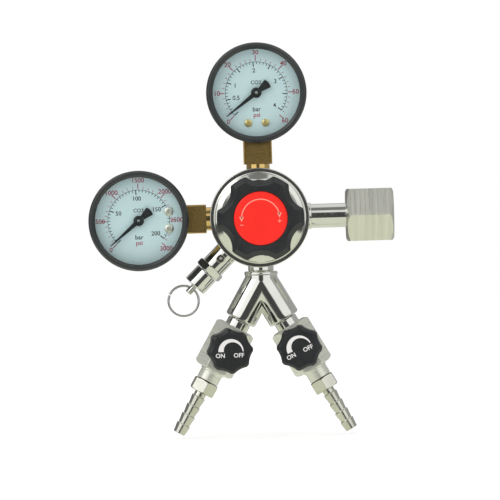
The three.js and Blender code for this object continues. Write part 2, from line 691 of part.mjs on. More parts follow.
// One gauge: prefix names its nodes, distance is from its centre to the regulator's, and towards turns its
// socket from straight down to the regulator.
function makeGauge({ prefix, distance, towards, pointerRest, screwRadius, screwMaterial }) {
  const gauge = new THREE.Group();
  const turned = new THREE.Group();
  turned.rotation.y = towards;
  gauge.add(turned);
  turned.add(piece(`${prefix}_gauge_case`, gaugeCase(), BLACK_ENAMEL));
  turned.add(piece(`${prefix}_gauge_bezel`, gaugeBezel(), BLACK_ENAMEL));
  const window = rodY(WINDOW.radius, WINDOW.back, WINDOW.front, ROUND);
  turned.add(piece(`${prefix}_gauge_window`, window, WINDOW_PLASTIC));
  turned.add(piece(`${prefix}_gauge_dial`, gaugeDial(), DIAL_ENAMEL));
  dialScrewPlaces().forEach(([x, z], i) => {
    const screw = piece(`${prefix}_gauge_dial_screw_${"ab"[i]}`, dialScrew(screwRadius), screwMaterial);
    screw.position.set(x, 0, z);
    turned.add(screw);
  });
  turned.add(piece(`${prefix}_gauge_socket`, gaugeSocket(distance), BRASS));
  turned.add(piece(`${prefix}_gauge_bourdon_tube`, bourdonTube(), BRASS));
  turned.add(piece(`${prefix}_gauge_movement_frame`, movementFrame(), BRASS));

  const sector = piece(`${prefix}_gauge_sector_gear`, sectorGear(), BRASS);
  sector.position.set(SECTOR_PIVOT.x, 0, SECTOR_PIVOT.z);
  sector.rotation.y = ANGLE_TO_ARBOR + SECTOR_TRAVEL / 2;
  turned.add(sector);

  const pinion = piece(`${prefix}_gauge_pinion`, pinionArbor(), BRASS);
  pinion.rotation.y = ANGLE_TO_ARBOR + Math.PI + Math.PI / PINION_TEETH;
  turned.add(pinion);

  const pointer = piece(`${prefix}_gauge_pointer`, gaugePointer(), BLACK_ENAMEL);
  pointer.rotation.y = pointerRest;
  gauge.add(pointer);
  return gauge;
}

function addGauges(parent) {
  const low = makeGauge({
    prefix: "low",
    distance: TOP_GAUGE_OUT,
    towards: TOP_PORT,
    pointerRest: LOW_POINTER_REST,
    screwRadius: 2.1,
    screwMaterial: BRASS,
  });
  low.position.z = TOP_GAUGE_OUT;
  const high = makeGauge({
    prefix: "high",
    distance: LEFT_GAUGE_OUT,
    towards: LEFT_PORT,
    pointerRest: HIGH_POINTER_REST,
    screwRadius: 2.5,
    screwMaterial: STEEL,
  });
  high.position.x = -LEFT_GAUGE_OUT;
  parent.add(low, high);
}

// ---------------------------------------------------------------- relief valve

function reliefBody() {
  const { neckEnd, collarEnd } = RELIEF;
  const neck = turnedZ(
    [
      [0, THREAD_START],
      [THREAD_RADIUS, THREAD_START],
      [THREAD_RADIUS, SHOULDER],
      [STEM_RADIUS, SHOULDER],
      [STEM_RADIUS, neckEnd + OVERLAP],
      [0, neckEnd + OVERLAP],
    ],
    MEDIUM_ROUND,
  );
  const hexagon = hexBar(RELIEF_COLLAR.flats, neckEnd, collarEnd, RELIEF_CHAMFER.collar);
  const collar = hexagon.rotateZ(RELIEF_COLLAR.turn);
  const { radius, start, seatHoleRadius } = RELIEF_CHAMBER;
  const chamber = rodZ(radius, start, collarEnd + OVERLAP, SMALL_ROUND);
  const seatHole = rodZ(seatHoleRadius, THREAD_START - OVERLAP, start + OVERLAP, TINY_ROUND);
  const vent = rodY(VENT.radius, VENT.bottom, -STEM_RADIUS - OVERLAP, TINY_ROUND).translate(0, 0, VENT.along);
  return cut(join(neck, collar), chamber, seatHole, vent);
}

function reliefCap() {
  const { collarEnd, capRadius, capEnd } = RELIEF;
  const { length, wall, endWall } = RELIEF_SPIGOT;
  const start = collarEnd + GAP;
  const spigot = RELIEF_CHAMBER.radius - GAP;
  const bore = spigot - wall;
  const stemHole = RELIEF_STEM.thin + GAP;
  return turnedZ(
    [
      [bore, start - length],
      [spigot, start - length],
      [spigot, start],
      [capRadius, start],
      [capRadius, capEnd - RELIEF_CHAMFER.cap],
      [capRadius - RELIEF_CHAMFER.cap, capEnd],
      [stemHole, capEnd],
      [stemHole, capEnd - endWall],
      [bore, capEnd - endWall],
    ],
    MEDIUM_ROUND,
  );
}

function reliefStem() {
  const { thin, thick, holeAlong, holeRadius } = RELIEF_STEM;
  const seat = SPRING_SEAT;
  const stem = turnedZ(
    [
      [0, seat.start],
      [seat.radius, seat.start],
      [seat.radius, seat.start + seat.thickness],
      [thin, seat.start + seat.thickness],
      [thin, RELIEF.capEnd + GAP],
      [thick, RELIEF.capEnd + GAP],
      [thick, RELIEF.stemEnd - RELIEF_CHAMFER.stem],
      [thick - RELIEF_CHAMFER.stem, RELIEF.stemEnd],
      [0, RELIEF.stemEnd],
    ],
    SMALL_ROUND,
  );
  const hole = rodZ(holeRadius, -thick - OVERLAP, thick + OVERLAP, TINY_ROUND);
  return cut(stem, hole.rotateY(Math.PI / 2 - RING.tilt).translate(0, 0, holeAlong));
}

function reliefRing() {
  const { radius, wire, tilt, wireSides, sides } = RING;
  const ring = new THREE.TorusGeometry(radius, wire, wireSides, sides).rotateX(Math.PI / 2);
  return ring.translate(-radius * Math.sin(tilt), 0, RELIEF_STEM.holeAlong + radius * Math.cos(tilt));
}

function reliefSpring() {
  const { radius, wire, turns } = RELIEF_SPRING;
  const start = SPRING_SEAT.start + SPRING_SEAT.thickness + GAP;
  const end = RELIEF.capEnd - RELIEF_SPIGOT.endWall - GAP;
  return coilSpring(radius, wire, start, end, turns).rotateX(Math.PI / 2);
}

function addReliefValve(parent) {
  const relief = new THREE.Group();
  relief.rotation.y = RELIEF_PORT;
  relief.add(piece("relief_body", reliefBody(), CHROME));
  relief.add(piece("relief_cap", reliefCap(), CHROME));
  const seal = rodZ(SEAL.radius, SEAL.start, SEAL.start + SEAL.thickness, SMALL_ROUND);
  relief.add(piece("relief_seal", seal, NYLON));
  relief.add(piece("relief_stem", reliefStem(), CHROME));
  relief.add(piece("relief_spring", reliefSpring(), STEEL));
  relief.add(piece("relief_ring", reliefRing(), CHROME));
  parent.add(relief);
}

// ---------------------------------------------------------------- outlet and wye

function outletNipple() {
  const { radius, boreRadius, end } = OUTLET_NIPPLE;
  const nipple = turnedZ(
    [
      [0, THREAD_START],
      [THREAD_RADIUS, THREAD_START],
      [THREAD_RADIUS, SHOULDER],
      [radius, SHOULDER],
      [radius, WYE.top - GAP],
      [THREAD_RADIUS, WYE.top - GAP],
      [THREAD_RADIUS, end],
      [0, end],
    ],
    MEDIUM_ROUND,
  );
  return cut(nipple, rodZ(boreRadius, THREAD_START - OVERLAP, end + OVERLAP, TINY_ROUND));
}

// A solid along one leg of the wye: side is -1 or 1 for the object's left or right.
function alongLeg(geometry, side) {
  return geometry.rotateY(-side * WYE_SPREAD).translate(0, 0, WYE.junction);
}

function wyeManifold() {
  const { topRadius, top, legRadius, legLength, chamfer } = WYE;
  const { topEnd, legStart, passageRadius } = WYE_BORE;
  const boreRadius = THREAD_RADIUS + GAP;
  const head = rodZ(topRadius, top, WYE_HEAD_END, MEDIUM_ROUND, chamfer);
  const sides = [-1, 1];
  const legs = sides.map((side) => alongLeg(rodZ(legRadius, 0, legLength, MEDIUM_ROUND, chamfer), side));
  const bores = sides.map((side) => alongLeg(rodZ(boreRadius, legStart, legLength + OVERLAP), side));
  const passages = sides.map((side) => alongLeg(rodZ(passageRadius, 0, legLength, TINY_ROUND), side));
  const topBore = rodZ(boreRadius, top - OVERLAP, topEnd, SMALL_ROUND);
  return cut(join(head, ...legs), topBore, ...bores, ...passages);
}

function addOutlet(parent) {
  const outlet = new THREE.Group();
  outlet.rotation.y = OUTLET_PORT;
  outlet.add(piece("outlet_nipple", outletNipple(), CHROME));
  outlet.add(piece("wye_manifold", wyeManifold(), CHROME));
  parent.add(outlet);
}

// ---------------------------------------------------------------- shut-off valves

function valveBody() {
  const { acrossFlats, start, end, knobAlong, chamfer } = VALVE;
  const { bossRadius, bossEnd, threadRadius, threadEnd } = VALVE_OUTLET;
  const { threadStart } = VALVE_NECK;
  const ends = turnedZ(
    [
      [0, threadStart],
      [THREAD_RADIUS, threadStart],
      [THREAD_RADIUS, VALVE_NECK.start],
      [VALVE_NECK.radius, VALVE_NECK.start],
      [VALVE_NECK.radius, end - OVERLAP],
      [bossRadius, end - OVERLAP],
      [bossRadius, bossEnd],
      [threadRadius, bossEnd],
      [threadRadius, threadEnd],
      [0, threadEnd],
    ],
    MEDIUM_ROUND,
  );
  const hexagon = hexBar(acrossFlats, start, end, chamfer).rotateZ(Math.PI / HEXAGON);
  const chamber = rodY(VALVE_CHAMBER.radius, VALVE_CHAMBER.floor, -acrossFlats / 2 - OVERLAP, SMALL_ROUND);
  const seat = rodY(VALVE_FLOW.radius, VALVE_CHAMBER.seatEnd, VALVE_CHAMBER.floor - OVERLAP, TINY_ROUND);
  const inletPassage = rodZ(VALVE_FLOW.radius, threadStart - OVERLAP, knobAlong, TINY_ROUND);
  const outletPassage = rodZ(VALVE_FLOW.radius, knobAlong, threadEnd + OVERLAP, TINY_ROUND);
  return cut(
    join(ends, hexagon),
    chamber.translate(0, 0, knobAlong),
    seat.translate(0, 0, knobAlong),
    inletPassage.translate(0, VALVE_FLOW.inletBehind, 0),
    outletPassage.translate(0, -VALVE_FLOW.outletAhead, 0),
  );
}

// The pieces on the spindle's axis are drawn about Y, with the axis at knobAlong on the leg.
function glandNut() {
  const { radius, back, front, threadRadius, threadEnd } = GLAND;
  const bore = SPINDLE.radius + GAP;
  return turnedY(
    [
      [bore, threadEnd],
      [threadRadius, threadEnd],
      [threadRadius, back],
      [radius, back],
      [radius, front],
      [bore, front],
    ],
    SMALL_ROUND,
  );
}

function valveKnob(turn) {
  const { back, front, bevel } = VALVE_KNOB;
  const outline = lobedOutline(VALVE_KNOB, VALVE_KNOB_POINTS_PER_LOBE, 0);
  const lobed = frontPlate(outline, back, front, bevel).rotateY(turn);
  return cut(lobed, rodY(SPINDLE.radius + GAP, back + OVERLAP, back - VALVE_KNOB_BORE_DEPTH, SMALL_ROUND));
}

// Four saw-tooth ridges behind a plain neck, with a hexagon that turns the fitting onto the valve.
function hoseBarb() {
  const { flats, start, hexEnd, chamfer, ridgeStart, end, ridges } = BARB;
  const { root, radius, bore, back } = BARB_RIDGE;
  const pitch = (end - ridgeStart) / ridges;
  const profile = [[0, hexEnd - OVERLAP], [root, hexEnd - OVERLAP]];
  for (let i = 0; i < ridges; i += 1) {
    profile.push([root, ridgeStart + i * pitch]);
    profile.push([radius, ridgeStart + i * pitch + back]);
  }
  profile.push([root, end], [0, end]);
  const hexagon = hexBar(flats, start, hexEnd, chamfer);
  const passage = rodZ(bore, start - OVERLAP, end + OVERLAP, TINY_ROUND);
  return cut(join(hexagon, turnedZ(profile, SMALL_ROUND)), passage);
}

function addValve(parent, { prefix, side, twist, knobTurn }) {
  const leg = new THREE.Group();
  leg.rotation.y = OUTLET_PORT + side * WYE_SPREAD;
  leg.position.z = -WYE.junction;
  const valve = new THREE.Group();
  valve.rotation.z = twist;
  leg.add(valve);
  valve.add(piece(`${prefix}_valve_body`, valveBody(), SATIN_NICKEL));
  valve.add(piece(`${prefix}_hose_barb`, hoseBarb(), CHROME));

  const knobAxis = new THREE.Group();
  knobAxis.position.z = VALVE.knobAlong;
  knobAxis.add(piece(`${prefix}_gland_nut`, glandNut(), CHROME));
  const disc = rodY(VALVE_DISC.radius, VALVE_CHAMBER.floor - GAP, VALVE_DISC.front, SMALL_ROUND);
  knobAxis.add(piece(`${prefix}_valve_disc`, disc, RUBBER));
  knobAxis.add(piece(`${prefix}_valve_spindle`, rodY(SPINDLE.radius, SPINDLE.back, SPINDLE.front), STEEL));
  knobAxis.add(piece(`${prefix}_valve_knob`, valveKnob(knobTurn), BLACK_PLASTIC));
  valve.add(knobAxis);
  parent.add(leg);
}

// ---------------------------------------------------------------- assembly

const regulator = new THREE.Group();
addRegulator(regulator);
addInlet(regulator);
addGauges(regulator);
addReliefValve(regulator);
addOutlet(regulator);
addValve(regulator, { prefix: "left", side: 1, twist: -LEFT_TWIST, knobTurn: LEFT_KNOB_TURN });
addValve(regulator, { prefix: "right", side: -1, twist: RIGHT_TWIST, knobTurn: RIGHT_KNOB_TURN });
regulator.position.x = -WASHER.end;

const group = new THREE.Group();
group.add(regulator);

export default group;
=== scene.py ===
# A two-gauge carbon dioxide regulator with a relief valve and a wye with two shut-off valves and hose barbs.
# Shapes are laid out in millimetres in the local frame of their port, gauge or valve, and placed in metres.
# Ports and legs run along Z in their own frames, and whatever faces the front faces -Y.
import math

import bmesh
import bpy
from mathutils import Matrix, Vector


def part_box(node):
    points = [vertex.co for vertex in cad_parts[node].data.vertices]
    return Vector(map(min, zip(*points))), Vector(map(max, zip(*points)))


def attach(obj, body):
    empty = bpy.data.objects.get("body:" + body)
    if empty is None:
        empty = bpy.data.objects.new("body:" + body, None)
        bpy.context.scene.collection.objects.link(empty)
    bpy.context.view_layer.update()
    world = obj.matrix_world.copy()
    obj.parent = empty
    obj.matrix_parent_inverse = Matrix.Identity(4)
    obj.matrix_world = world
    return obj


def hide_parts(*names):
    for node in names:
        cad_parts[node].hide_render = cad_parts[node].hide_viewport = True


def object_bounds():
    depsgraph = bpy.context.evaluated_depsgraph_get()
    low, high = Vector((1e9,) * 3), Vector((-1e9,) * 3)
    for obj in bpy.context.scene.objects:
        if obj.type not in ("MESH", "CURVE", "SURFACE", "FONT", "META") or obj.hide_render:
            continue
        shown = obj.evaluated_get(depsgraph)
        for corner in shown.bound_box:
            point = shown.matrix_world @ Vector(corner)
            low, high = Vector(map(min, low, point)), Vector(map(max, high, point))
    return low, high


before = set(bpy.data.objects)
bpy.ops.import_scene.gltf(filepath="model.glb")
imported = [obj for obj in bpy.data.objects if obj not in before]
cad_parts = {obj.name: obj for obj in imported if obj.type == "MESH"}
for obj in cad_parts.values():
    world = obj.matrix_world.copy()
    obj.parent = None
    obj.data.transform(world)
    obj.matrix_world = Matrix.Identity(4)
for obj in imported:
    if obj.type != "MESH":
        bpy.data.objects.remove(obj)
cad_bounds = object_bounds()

MM = 0.001
TAU = 2 * math.pi
WELD = 1e-4  # millimetres
GAP = 0.3  # between pieces that meet face to face
SEGMENTS = 96
FINE_SEGMENTS = 160
SHARP_ANGLE = math.radians(38)
STRAIGHT = 0.01  # radians; a corner that turns by less than twice this stays as it is
FILLET_SHARE = 0.48  # the most that a fillet takes of each side of its corner
CHAMFER_SLOPE = math.tan(math.radians(30))  # of a hexagon's turned ends
CAPITAL_HEIGHT = 0.7  # for each unit of the font's size
BOLDNESS = 0.025  # how far the strokes of letters are swollen, for each unit of height


# ------------------------ places

def middle(node):
    """The middle of a CAD node's box, in millimetres, with its depth set to the plane of the ports' axes."""
    low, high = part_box(node)
    centre = (low + high) / 2 / MM
    return Vector((centre.x, 0, centre.z))


def turned(angle, axis):
    return Matrix.Rotation(angle, 4, axis)


CENTRE = middle("diaphragm")
TOP_PORT = 0
LEFT_PORT = -TAU / 4
INLET_PORT = TAU / 4
RELIEF_PORT = -3 * TAU / 8
OUTLET_PORT = TAU / 2
BOSS_END = 25.8  # from the regulator's centre
SHOULDER = BOSS_END + GAP  # of whatever screws into a boss
THREAD_RADIUS = 5
THREAD_END = 17.5
WYE_JUNCTION = 35
WYE_SPREAD = math.radians(30)
LEG_END = 24.6  # from the wye's junction
KNOB_ALONG_LEG = 41.5
VALVE_TWIST = {"left": math.radians(-7.5), "right": math.radians(3.5)}
VALVE_SIDE = {"left": 1, "right": -1}

AT_CENTRE = Matrix.Translation(CENTRE)


def at_port(angle):
    return AT_CENTRE @ turned(angle, "Y")


AT_WYE = AT_CENTRE @ Matrix.Translation((0, 0, -WYE_JUNCTION))


def at_leg(side):
    """Along one leg of the wye, measured from its junction."""
    return AT_WYE @ turned(OUTLET_PORT + VALVE_SIDE[side] * WYE_SPREAD, "Y")


def at_valve(side):
    return at_leg(side) @ turned(VALVE_TWIST[side], "Z")


def at_valve_knob(side):
    return at_valve(side) @ Matrix.Translation((0, 0, KNOB_ALONG_LEG))


# ------------------------ shapes

def about_y(angle, radius, height):
    return radius * math.sin(angle), height, radius * math.cos(angle)


def about_z(angle, radius, height):
    return radius * math.sin(angle), -radius * math.cos(angle), height


def bridge(shape, rows, wrapped):
    """Adds the faces between neighbouring rows; a wrapped row also joins its last vertex to its first."""
    for here, there in zip(rows, rows[1:]):
        for j in range(len(here) if wrapped else len(here) - 1):
            k = (j + 1) % len(here)
            shape.faces.new((here[j], here[k], there[k], there[j]))


def swept(columns, place, closed=False):
    """Joins columns, each an angle and its profile of (radius, height), into one closed surface."""
    shape = bmesh.new()
    grid = [[shape.verts.new(place(angle, *point)) for point in profile] for angle, profile in columns]
    bridge(shape, grid + grid[:1], closed)
    bmesh.ops.remove_doubles(shape, verts=shape.verts, dist=WELD)
    bmesh.ops.recalc_face_normals(shape, faces=shape.faces)
    return shape


def even_angles(count):
    return [TAU * i / count for i in range(count)]


def lathe(profile, place=about_z, segments=SEGMENTS, closed=False):
    return swept([(angle, profile) for angle in even_angles(segments)], place, closed)


def rounded(points, fillet, closed=False, steps=4):
    """An outline with rounded corners; a point may carry a fillet of its own as its third value."""
    path = []
    for i, point in enumerate(points):
        corner = Vector(point[:2])
        radius = point[2] if len(point) > 2 else fillet
        if radius == 0 or (not closed and i in (0, len(points) - 1)):
            path.append(tuple(corner))
            continue
        before = Vector(points[i - 1][:2]) - corner
        after = Vector(points[(i + 1) % len(points)][:2]) - corner
        half = before.angle(after) / 2
        if math.pi / 2 - half < STRAIGHT:
            path.append(tuple(corner))
            continue
        reach = min(radius / math.tan(half), FILLET_SHARE * min(before.length, after.length))
        before.normalize()
        after.normalize()
        centre = corner + (before + after).normalized() * (reach / math.cos(half))
        start = corner + before * reach - centre
        end = corner + after * reach - centre
        sweep = math.pi - 2 * half
        for step in range(steps + 1):
            share = step / steps
            spoke = start * math.sin((1 - share) * sweep) + end * math.sin(share * sweep)
            path.append(tuple(centre + spoke / math.sin(sweep)))
    return path


def hexagon_rays(flats, corner):
    """The rays (angle, reach) of a hexagon with rounded corners, one corner at angle 0."""
    sides, steps = 6, 10
    across = flats / 2 / math.cos(math.pi / sides)
    corners = [(across * math.sin(angle), across * math.cos(angle)) for angle in even_angles(sides)]
    outline = rounded(corners, corner, closed=True)
    rays = []
    for here, there in zip(outline, outline[1:] + outline[:1]):
        here, there = Vector(here), Vector(there)
        count = steps if (there - here).length > corner else 1
        for step in range(count):
            point = here.lerp(there, step / count)
            rays.append((math.atan2(point.x, point.y), point.length))
    return rays


def hex_bar(flats, start, end, inner, corner, place=about_z, bore=0):
    """A hexagonal bar whose ends are turned to a cone that starts at the radius inner."""
    def profile(reach):
        rise = (reach - inner) * CHAMFER_SLOPE
        turned_end = [(reach, end - rise), (inner, end), (bore, end)]
        return [(bore, start), (inner, start), (reach, start + rise), *turned_end]

    columns = [(angle, profile(reach)) for angle, reach in hexagon_rays(flats, corner)]
    return swept(columns, place, closed=bore > 0)


def rod(radius, start, end, fillet, place=about_z, segments=SEGMENTS, bore=0):
    corners = [(bore, start), (radius, start), (radius, end), (bore, end)]
    return lathe(rounded(corners, fillet, closed=bore > 0), place, segments, closed=bore > 0)


def ball_end(radius, centre):
    """A quarter circle that rounds a rod's end to a ball."""
    steps = 24
    quarter = [TAU / 4 * step / steps for step in range(steps + 1)]
    return [(radius * math.cos(turn), centre + radius * math.sin(turn)) for turn in quarter]


def even_rows(radius, start, end):
    """Rows along a straight rod, so that shading near a seam stays near it."""
    spacing = 0.5
    count = int((end - start) / spacing)
    return [(radius, start + (end - start) * i / count, 0) for i in range(count)]


def box(low, high):
    shape = bmesh.new()
    bmesh.ops.create_cube(shape, size=1)
    size = Vector(high) - Vector(low)
    shape.transform(Matrix.Translation((Vector(low) + Vector(high)) / 2) @ Matrix.Diagonal((*size, 1)))
    return shape


def bevelled_box(low, high, bevel):
    shape = box(low, high)
    bmesh.ops.bevel(shape, geom=shape.edges, offset=bevel, segments=3, profile=0.5, affect="EDGES")
    return shape


def moved(shape, matrix):
    shape.transform(matrix)
    return shape


def mesh_of(shape, name="scratch"):
    """The shape as a mesh; the shape itself is freed."""
    mesh = bpy.data.meshes.new(name)
    shape.to_mesh(mesh)
    shape.free()
    return mesh


def linked(data, name="scratch"):
    """A new object in the scene."""
    made = bpy.data.objects.new(name, data)
    bpy.context.scene.collection.objects.link(made)
    return made


def gathered(shapes):
    """Several shapes as one, without joining their surfaces."""
    whole = bmesh.new()
    for shape in shapes:
        mesh = mesh_of(shape)
        whole.from_mesh(mesh)
        bpy.data.meshes.remove(mesh)
    return whole


def evaluated_shape(made):
    """The shape of an object with its modifiers, and the object is removed."""
    result = bmesh.new()
    evaluated = made.evaluated_get(bpy.context.evaluated_depsgraph_get())
    result.from_mesh(evaluated.to_mesh())
    evaluated.to_mesh_clear()
    bpy.data.objects.remove(made)
    return result


def combined(base, tools, operation):
    """The base joined with the tools (UNION), or cut by them (DIFFERENCE)."""
    target = linked(mesh_of(base))
    tool_objects = [linked(mesh_of(tool)) for tool in tools]
    for tool in tool_objects:
        modifier = target.modifiers.new("combine", "BOOLEAN")
        modifier.operation = operation
        modifier.solver = "EXACT"
        modifier.object = tool
    result = evaluated_shape(target)
    for tool in tool_objects:
        bpy.data.objects.remove(tool)
    bmesh.ops.remove_doubles(result, verts=result.verts, dist=WELD)
    return result


def joined(base, *tools):
    return combined(base, tools, "UNION")


def cut(base, *tools):
    return combined(base, tools, "DIFFERENCE")


def lettering(text, height, depth):
    """Raised letters that face -Y, centred on the origin."""
    font = bpy.data.curves.new("lettering", "FONT")
    font.body = text
    font.size = height / CAPITAL_HEIGHT
    font.align_x = "CENTER"
    font.align_y = "CENTER"
    font.resolution_u = 3
    font.extrude = depth / 2
    font.offset = height * BOLDNESS
    letters = evaluated_shape(linked(font))
    bmesh.ops.remove_doubles(letters, verts=letters.verts, dist=WELD)
    return moved(letters, turned(TAU / 4, "X"))


def skinned(loops):
    """A closed surface over a row of closed loops of points, with a flat face at each end."""
    shape = bmesh.new()
    rows = [[shape.verts.new(point) for point in loop] for loop in loops]
    bridge(shape, rows, True)
    shape.faces.new(rows[0])
    shape.faces.new(rows[-1])
    bmesh.ops.recalc_face_normals(shape, faces=shape.faces)
    return shape


def arc_band(inner_at, outer_at, start, end, back, depth):
    """A flat band between two radii, each a function of the share of the way from start to end."""
    steps, front = 48, back - depth
    loops = []
    for step in range(steps + 1):
        share = step / steps
        angle = start + (end - start) * share
        inner, outer = inner_at(share), outer_at(share)
        corners = ((inner, back), (outer, back), (outer, front), (inner, front))
        loops.append([about_y(angle, *corner) for corner in corners])
    return skinned(loops)


def plate(points, back, depth):
    """A flat plate with an outline in X and Z."""
    return skinned([[(x, y, z) for x, z in points] for y in (back, back - depth)])


def oblong(low, high, back, depth):
    """A flat rectangle between two corners in X and Z."""
    return plate([low, (high[0], low[1]), high, (low[0], high[1])], back, depth)


def screwed_in(bore=0):
    """The start of a fitting's outline: its threaded end, up to the shoulder that meets a boss."""
    return [(bore, THREAD_END), (THREAD_RADIUS, THREAD_END), (THREAD_RADIUS, SHOULDER)]


def add_piece(name, shape, matrix, material, slot, *replaced, body="regulator"):
    """Places a shape, in metres, as a piece that rides on a CAD body and replaces CAD nodes."""
    mesh = mesh_of(moved(shape, Matrix.Scale(MM, 4) @ matrix), name)
    mesh.materials.append(material)
    mesh.shade_smooth()
    mesh.set_sharp_from_angle(angle=SHARP_ANGLE)
    made = linked(mesh, name)
    normals = made.modifiers.new("normals", "WEIGHTED_NORMAL")
    normals.keep_sharp = True
    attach(made, body)
    if replaced:
        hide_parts(*replaced)


# ------------------------ materials

class NodeTree:
    """A node tree, with short ways to add nodes and link them."""

    def __init__(self, tree):
        self.tree = tree

    def add(self, kind, **settings):
        node = self.tree.nodes.new(kind)
        for key, value in settings.items():
            setattr(node, key, value)
        return node

    def link(self, source, target):
        self.tree.links.new(source, target)

    def ranged(self, source, low, high, start=0.3, stop=0.7):
        node = self.add("ShaderNodeMapRange")
        node.inputs["From Min"].default_value = start
        node.inputs["From Max"].default_value = stop
        node.inputs["To Min"].default_value = low
        node.inputs["To Max"].default_value = high
        self.link(source, node.inputs["Value"])
        return node.outputs["Result"]

    def mixed(self, factor, first, second):
        """A blend of two colours."""
        node = self.add("ShaderNodeMix", data_type="RGBA")
        self.link(factor, node.inputs["Factor"])
        for key, colour in (("A", first), ("B", second)):
            socket = next(s for s in node.inputs if s.name == key and s.type == "RGBA")
            socket.default_value = (*colour, 1)
        return next(s for s in node.outputs if s.type == "RGBA")


class Nodes(NodeTree):
    """A material and its nodes."""

    def __init__(self, name):
        self.material = bpy.data.materials.new(name)
        self.material.use_nodes = True
        super().__init__(self.material.node_tree)
        self.shader = self.tree.nodes["Principled BSDF"]
        self.place = self.add("ShaderNodeTexCoord").outputs["Object"]

    def stretched(self, scale, turn):
        """The object's coordinates turned about Y and then scaled."""
        rotation = self.add("ShaderNodeMapping")
        rotation.inputs["Rotation"].default_value = (0, turn, 0)
        self.link(self.place, rotation.inputs["Vector"])
        stretch = self.add("ShaderNodeMapping")
        stretch.inputs["Scale"].default_value = scale
        self.link(rotation.outputs["Vector"], stretch.inputs["Vector"])
        return stretch.outputs["Vector"]

    def noise(self, scale, detail=3, vector=None, roughness=0.55):
        node = self.add("ShaderNodeTexNoise")
        node.inputs["Scale"].default_value = scale
        node.inputs["Detail"].default_value = detail
        node.inputs["Roughness"].default_value = roughness
        self.link(vector or self.place, node.inputs["Vector"])
        return node.outputs["Fac"]

    def bump(self, source, strength, distance, normal=None):
        node = self.add("ShaderNodeBump")
        node.inputs["Strength"].default_value = strength
        node.inputs["Distance"].default_value = distance
        self.link(source, node.inputs["Height"])
        if normal is not None:
            self.link(normal, node.inputs["Normal"])
        return node.outputs["Normal"]

    def colour(self, noise, first, second):
        """Base colour that drifts between two shades."""
        self.link(self.mixed(self.ranged(noise, 0, 1), first, second), self.shader.inputs["Base Color"])

    def roughness(self, noise, low, high):
        self.link(self.ranged(noise, low, high), self.shader.inputs["Roughness"])

    def normal(self, bump):
        self.link(bump, self.shader.inputs["Normal"])

    def set(self, **values):
        for key, value in values.items():
            self.shader.inputs[key.replace("_", " ")].default_value = value


def chrome(name, colour, shade, roughness=(0.035, 0.09), waves=0.25):
    """Polished plating: faint waves from the casting under it, fine polishing marks and a few smears."""
    nodes = Nodes(name)
    nodes.set(Metallic=1.0)
    nodes.colour(nodes.noise(70, detail=4), colour, shade)
    marks = nodes.noise(900, detail=2)
    nodes.roughness(marks, *roughness)
    wave = nodes.bump(nodes.noise(160, detail=1), strength=waves, distance=0.00012)
    nodes.normal(nodes.bump(marks, strength=0.05, distance=0.00003, normal=wave))
    return nodes.material


def machined(name, colour, shade, turn, streaks, metal):
    """Satin plating over a machined bar: fine streaks across its axis, which the turn about Y lays on X."""
    nodes = Nodes(name)
    nodes.set(Metallic=metal)
    lines = nodes.noise(1, 3, nodes.stretched((2600, 30, 30), turn), roughness=0.7)
    broad = nodes.noise(1, 2, nodes.stretched((420, 14, 14), turn))
    nodes.colour(broad, colour, shade)
    nodes.roughness(lines, 0.24, 0.42)
    fine = nodes.bump(lines, strength=streaks, distance=0.00004)
    nodes.normal(nodes.bump(nodes.noise(220, detail=2), strength=0.2, distance=0.0001, normal=fine))
    return nodes.material


def moulded(name, colour, shade, roughness, grain, coat=0.0, gloss=0.5):
    """Moulded plastic or baked enamel with a fine grain."""
    nodes = Nodes(name)
    nodes.set(Coat_Weight=coat, Coat_Roughness=0.12, Specular_IOR_Level=gloss)
    nodes.colour(nodes.noise(90, detail=4), colour, shade)
    nodes.roughness(nodes.noise(300), *roughness)
    nodes.normal(nodes.bump(nodes.noise(2600), strength=grain, distance=0.00004))
    return nodes.material


def printed(name, colour, shade):
    """Screen-printed ink that is a little uneven."""
    nodes = Nodes(name)
    cover = nodes.noise(1500)
    nodes.colour(cover, colour, shade)
    nodes.roughness(cover, 0.45, 0.6)
    return nodes.material


def window_glass():
    """Clear window: see-through, with a reflection that grows at a slant and that faint smears break up."""
    nodes = Nodes("window_glass")
    nodes.tree.nodes.remove(nodes.shader)
    clear = nodes.add("ShaderNodeBsdfTransparent")
    clear.inputs["Color"].default_value = (0.97, 0.99, 0.99, 1)
    gloss = nodes.add("ShaderNodeBsdfAnisotropic")
    gloss.inputs["Color"].default_value = (1, 1, 1, 1)
    nodes.link(nodes.ranged(nodes.noise(60), 0.02, 0.08), gloss.inputs["Roughness"])
    slant = nodes.add("ShaderNodeLayerWeight")
    slant.inputs["Blend"].default_value = 0.5
    steep = nodes.add("ShaderNodeMath", operation="POWER")
    nodes.link(slant.outputs["Facing"], steep.inputs[0])
    steep.inputs[1].default_value = 5  # as in Schlick's formula
    mix = nodes.add("ShaderNodeMixShader")
    nodes.link(nodes.ranged(steep.outputs["Value"], 0.025, 0.8, 0, 1), mix.inputs["Fac"])
    nodes.link(clear.outputs["BSDF"], mix.inputs[1])
    nodes.link(gloss.outputs["BSDF"], mix.inputs[2])
    nodes.link(mix.outputs["Shader"], nodes.tree.nodes["Material Output"].inputs["Surface"])
    return nodes.material


def leg_to_x(side):
    """The turn about Y that lays the axis of one leg on X."""
    leg = turned(OUTLET_PORT + VALVE_SIDE[side] * WYE_SPREAD, "Y") @ Vector((0, 0, 1))
    return math.atan2(leg.z, leg.x)


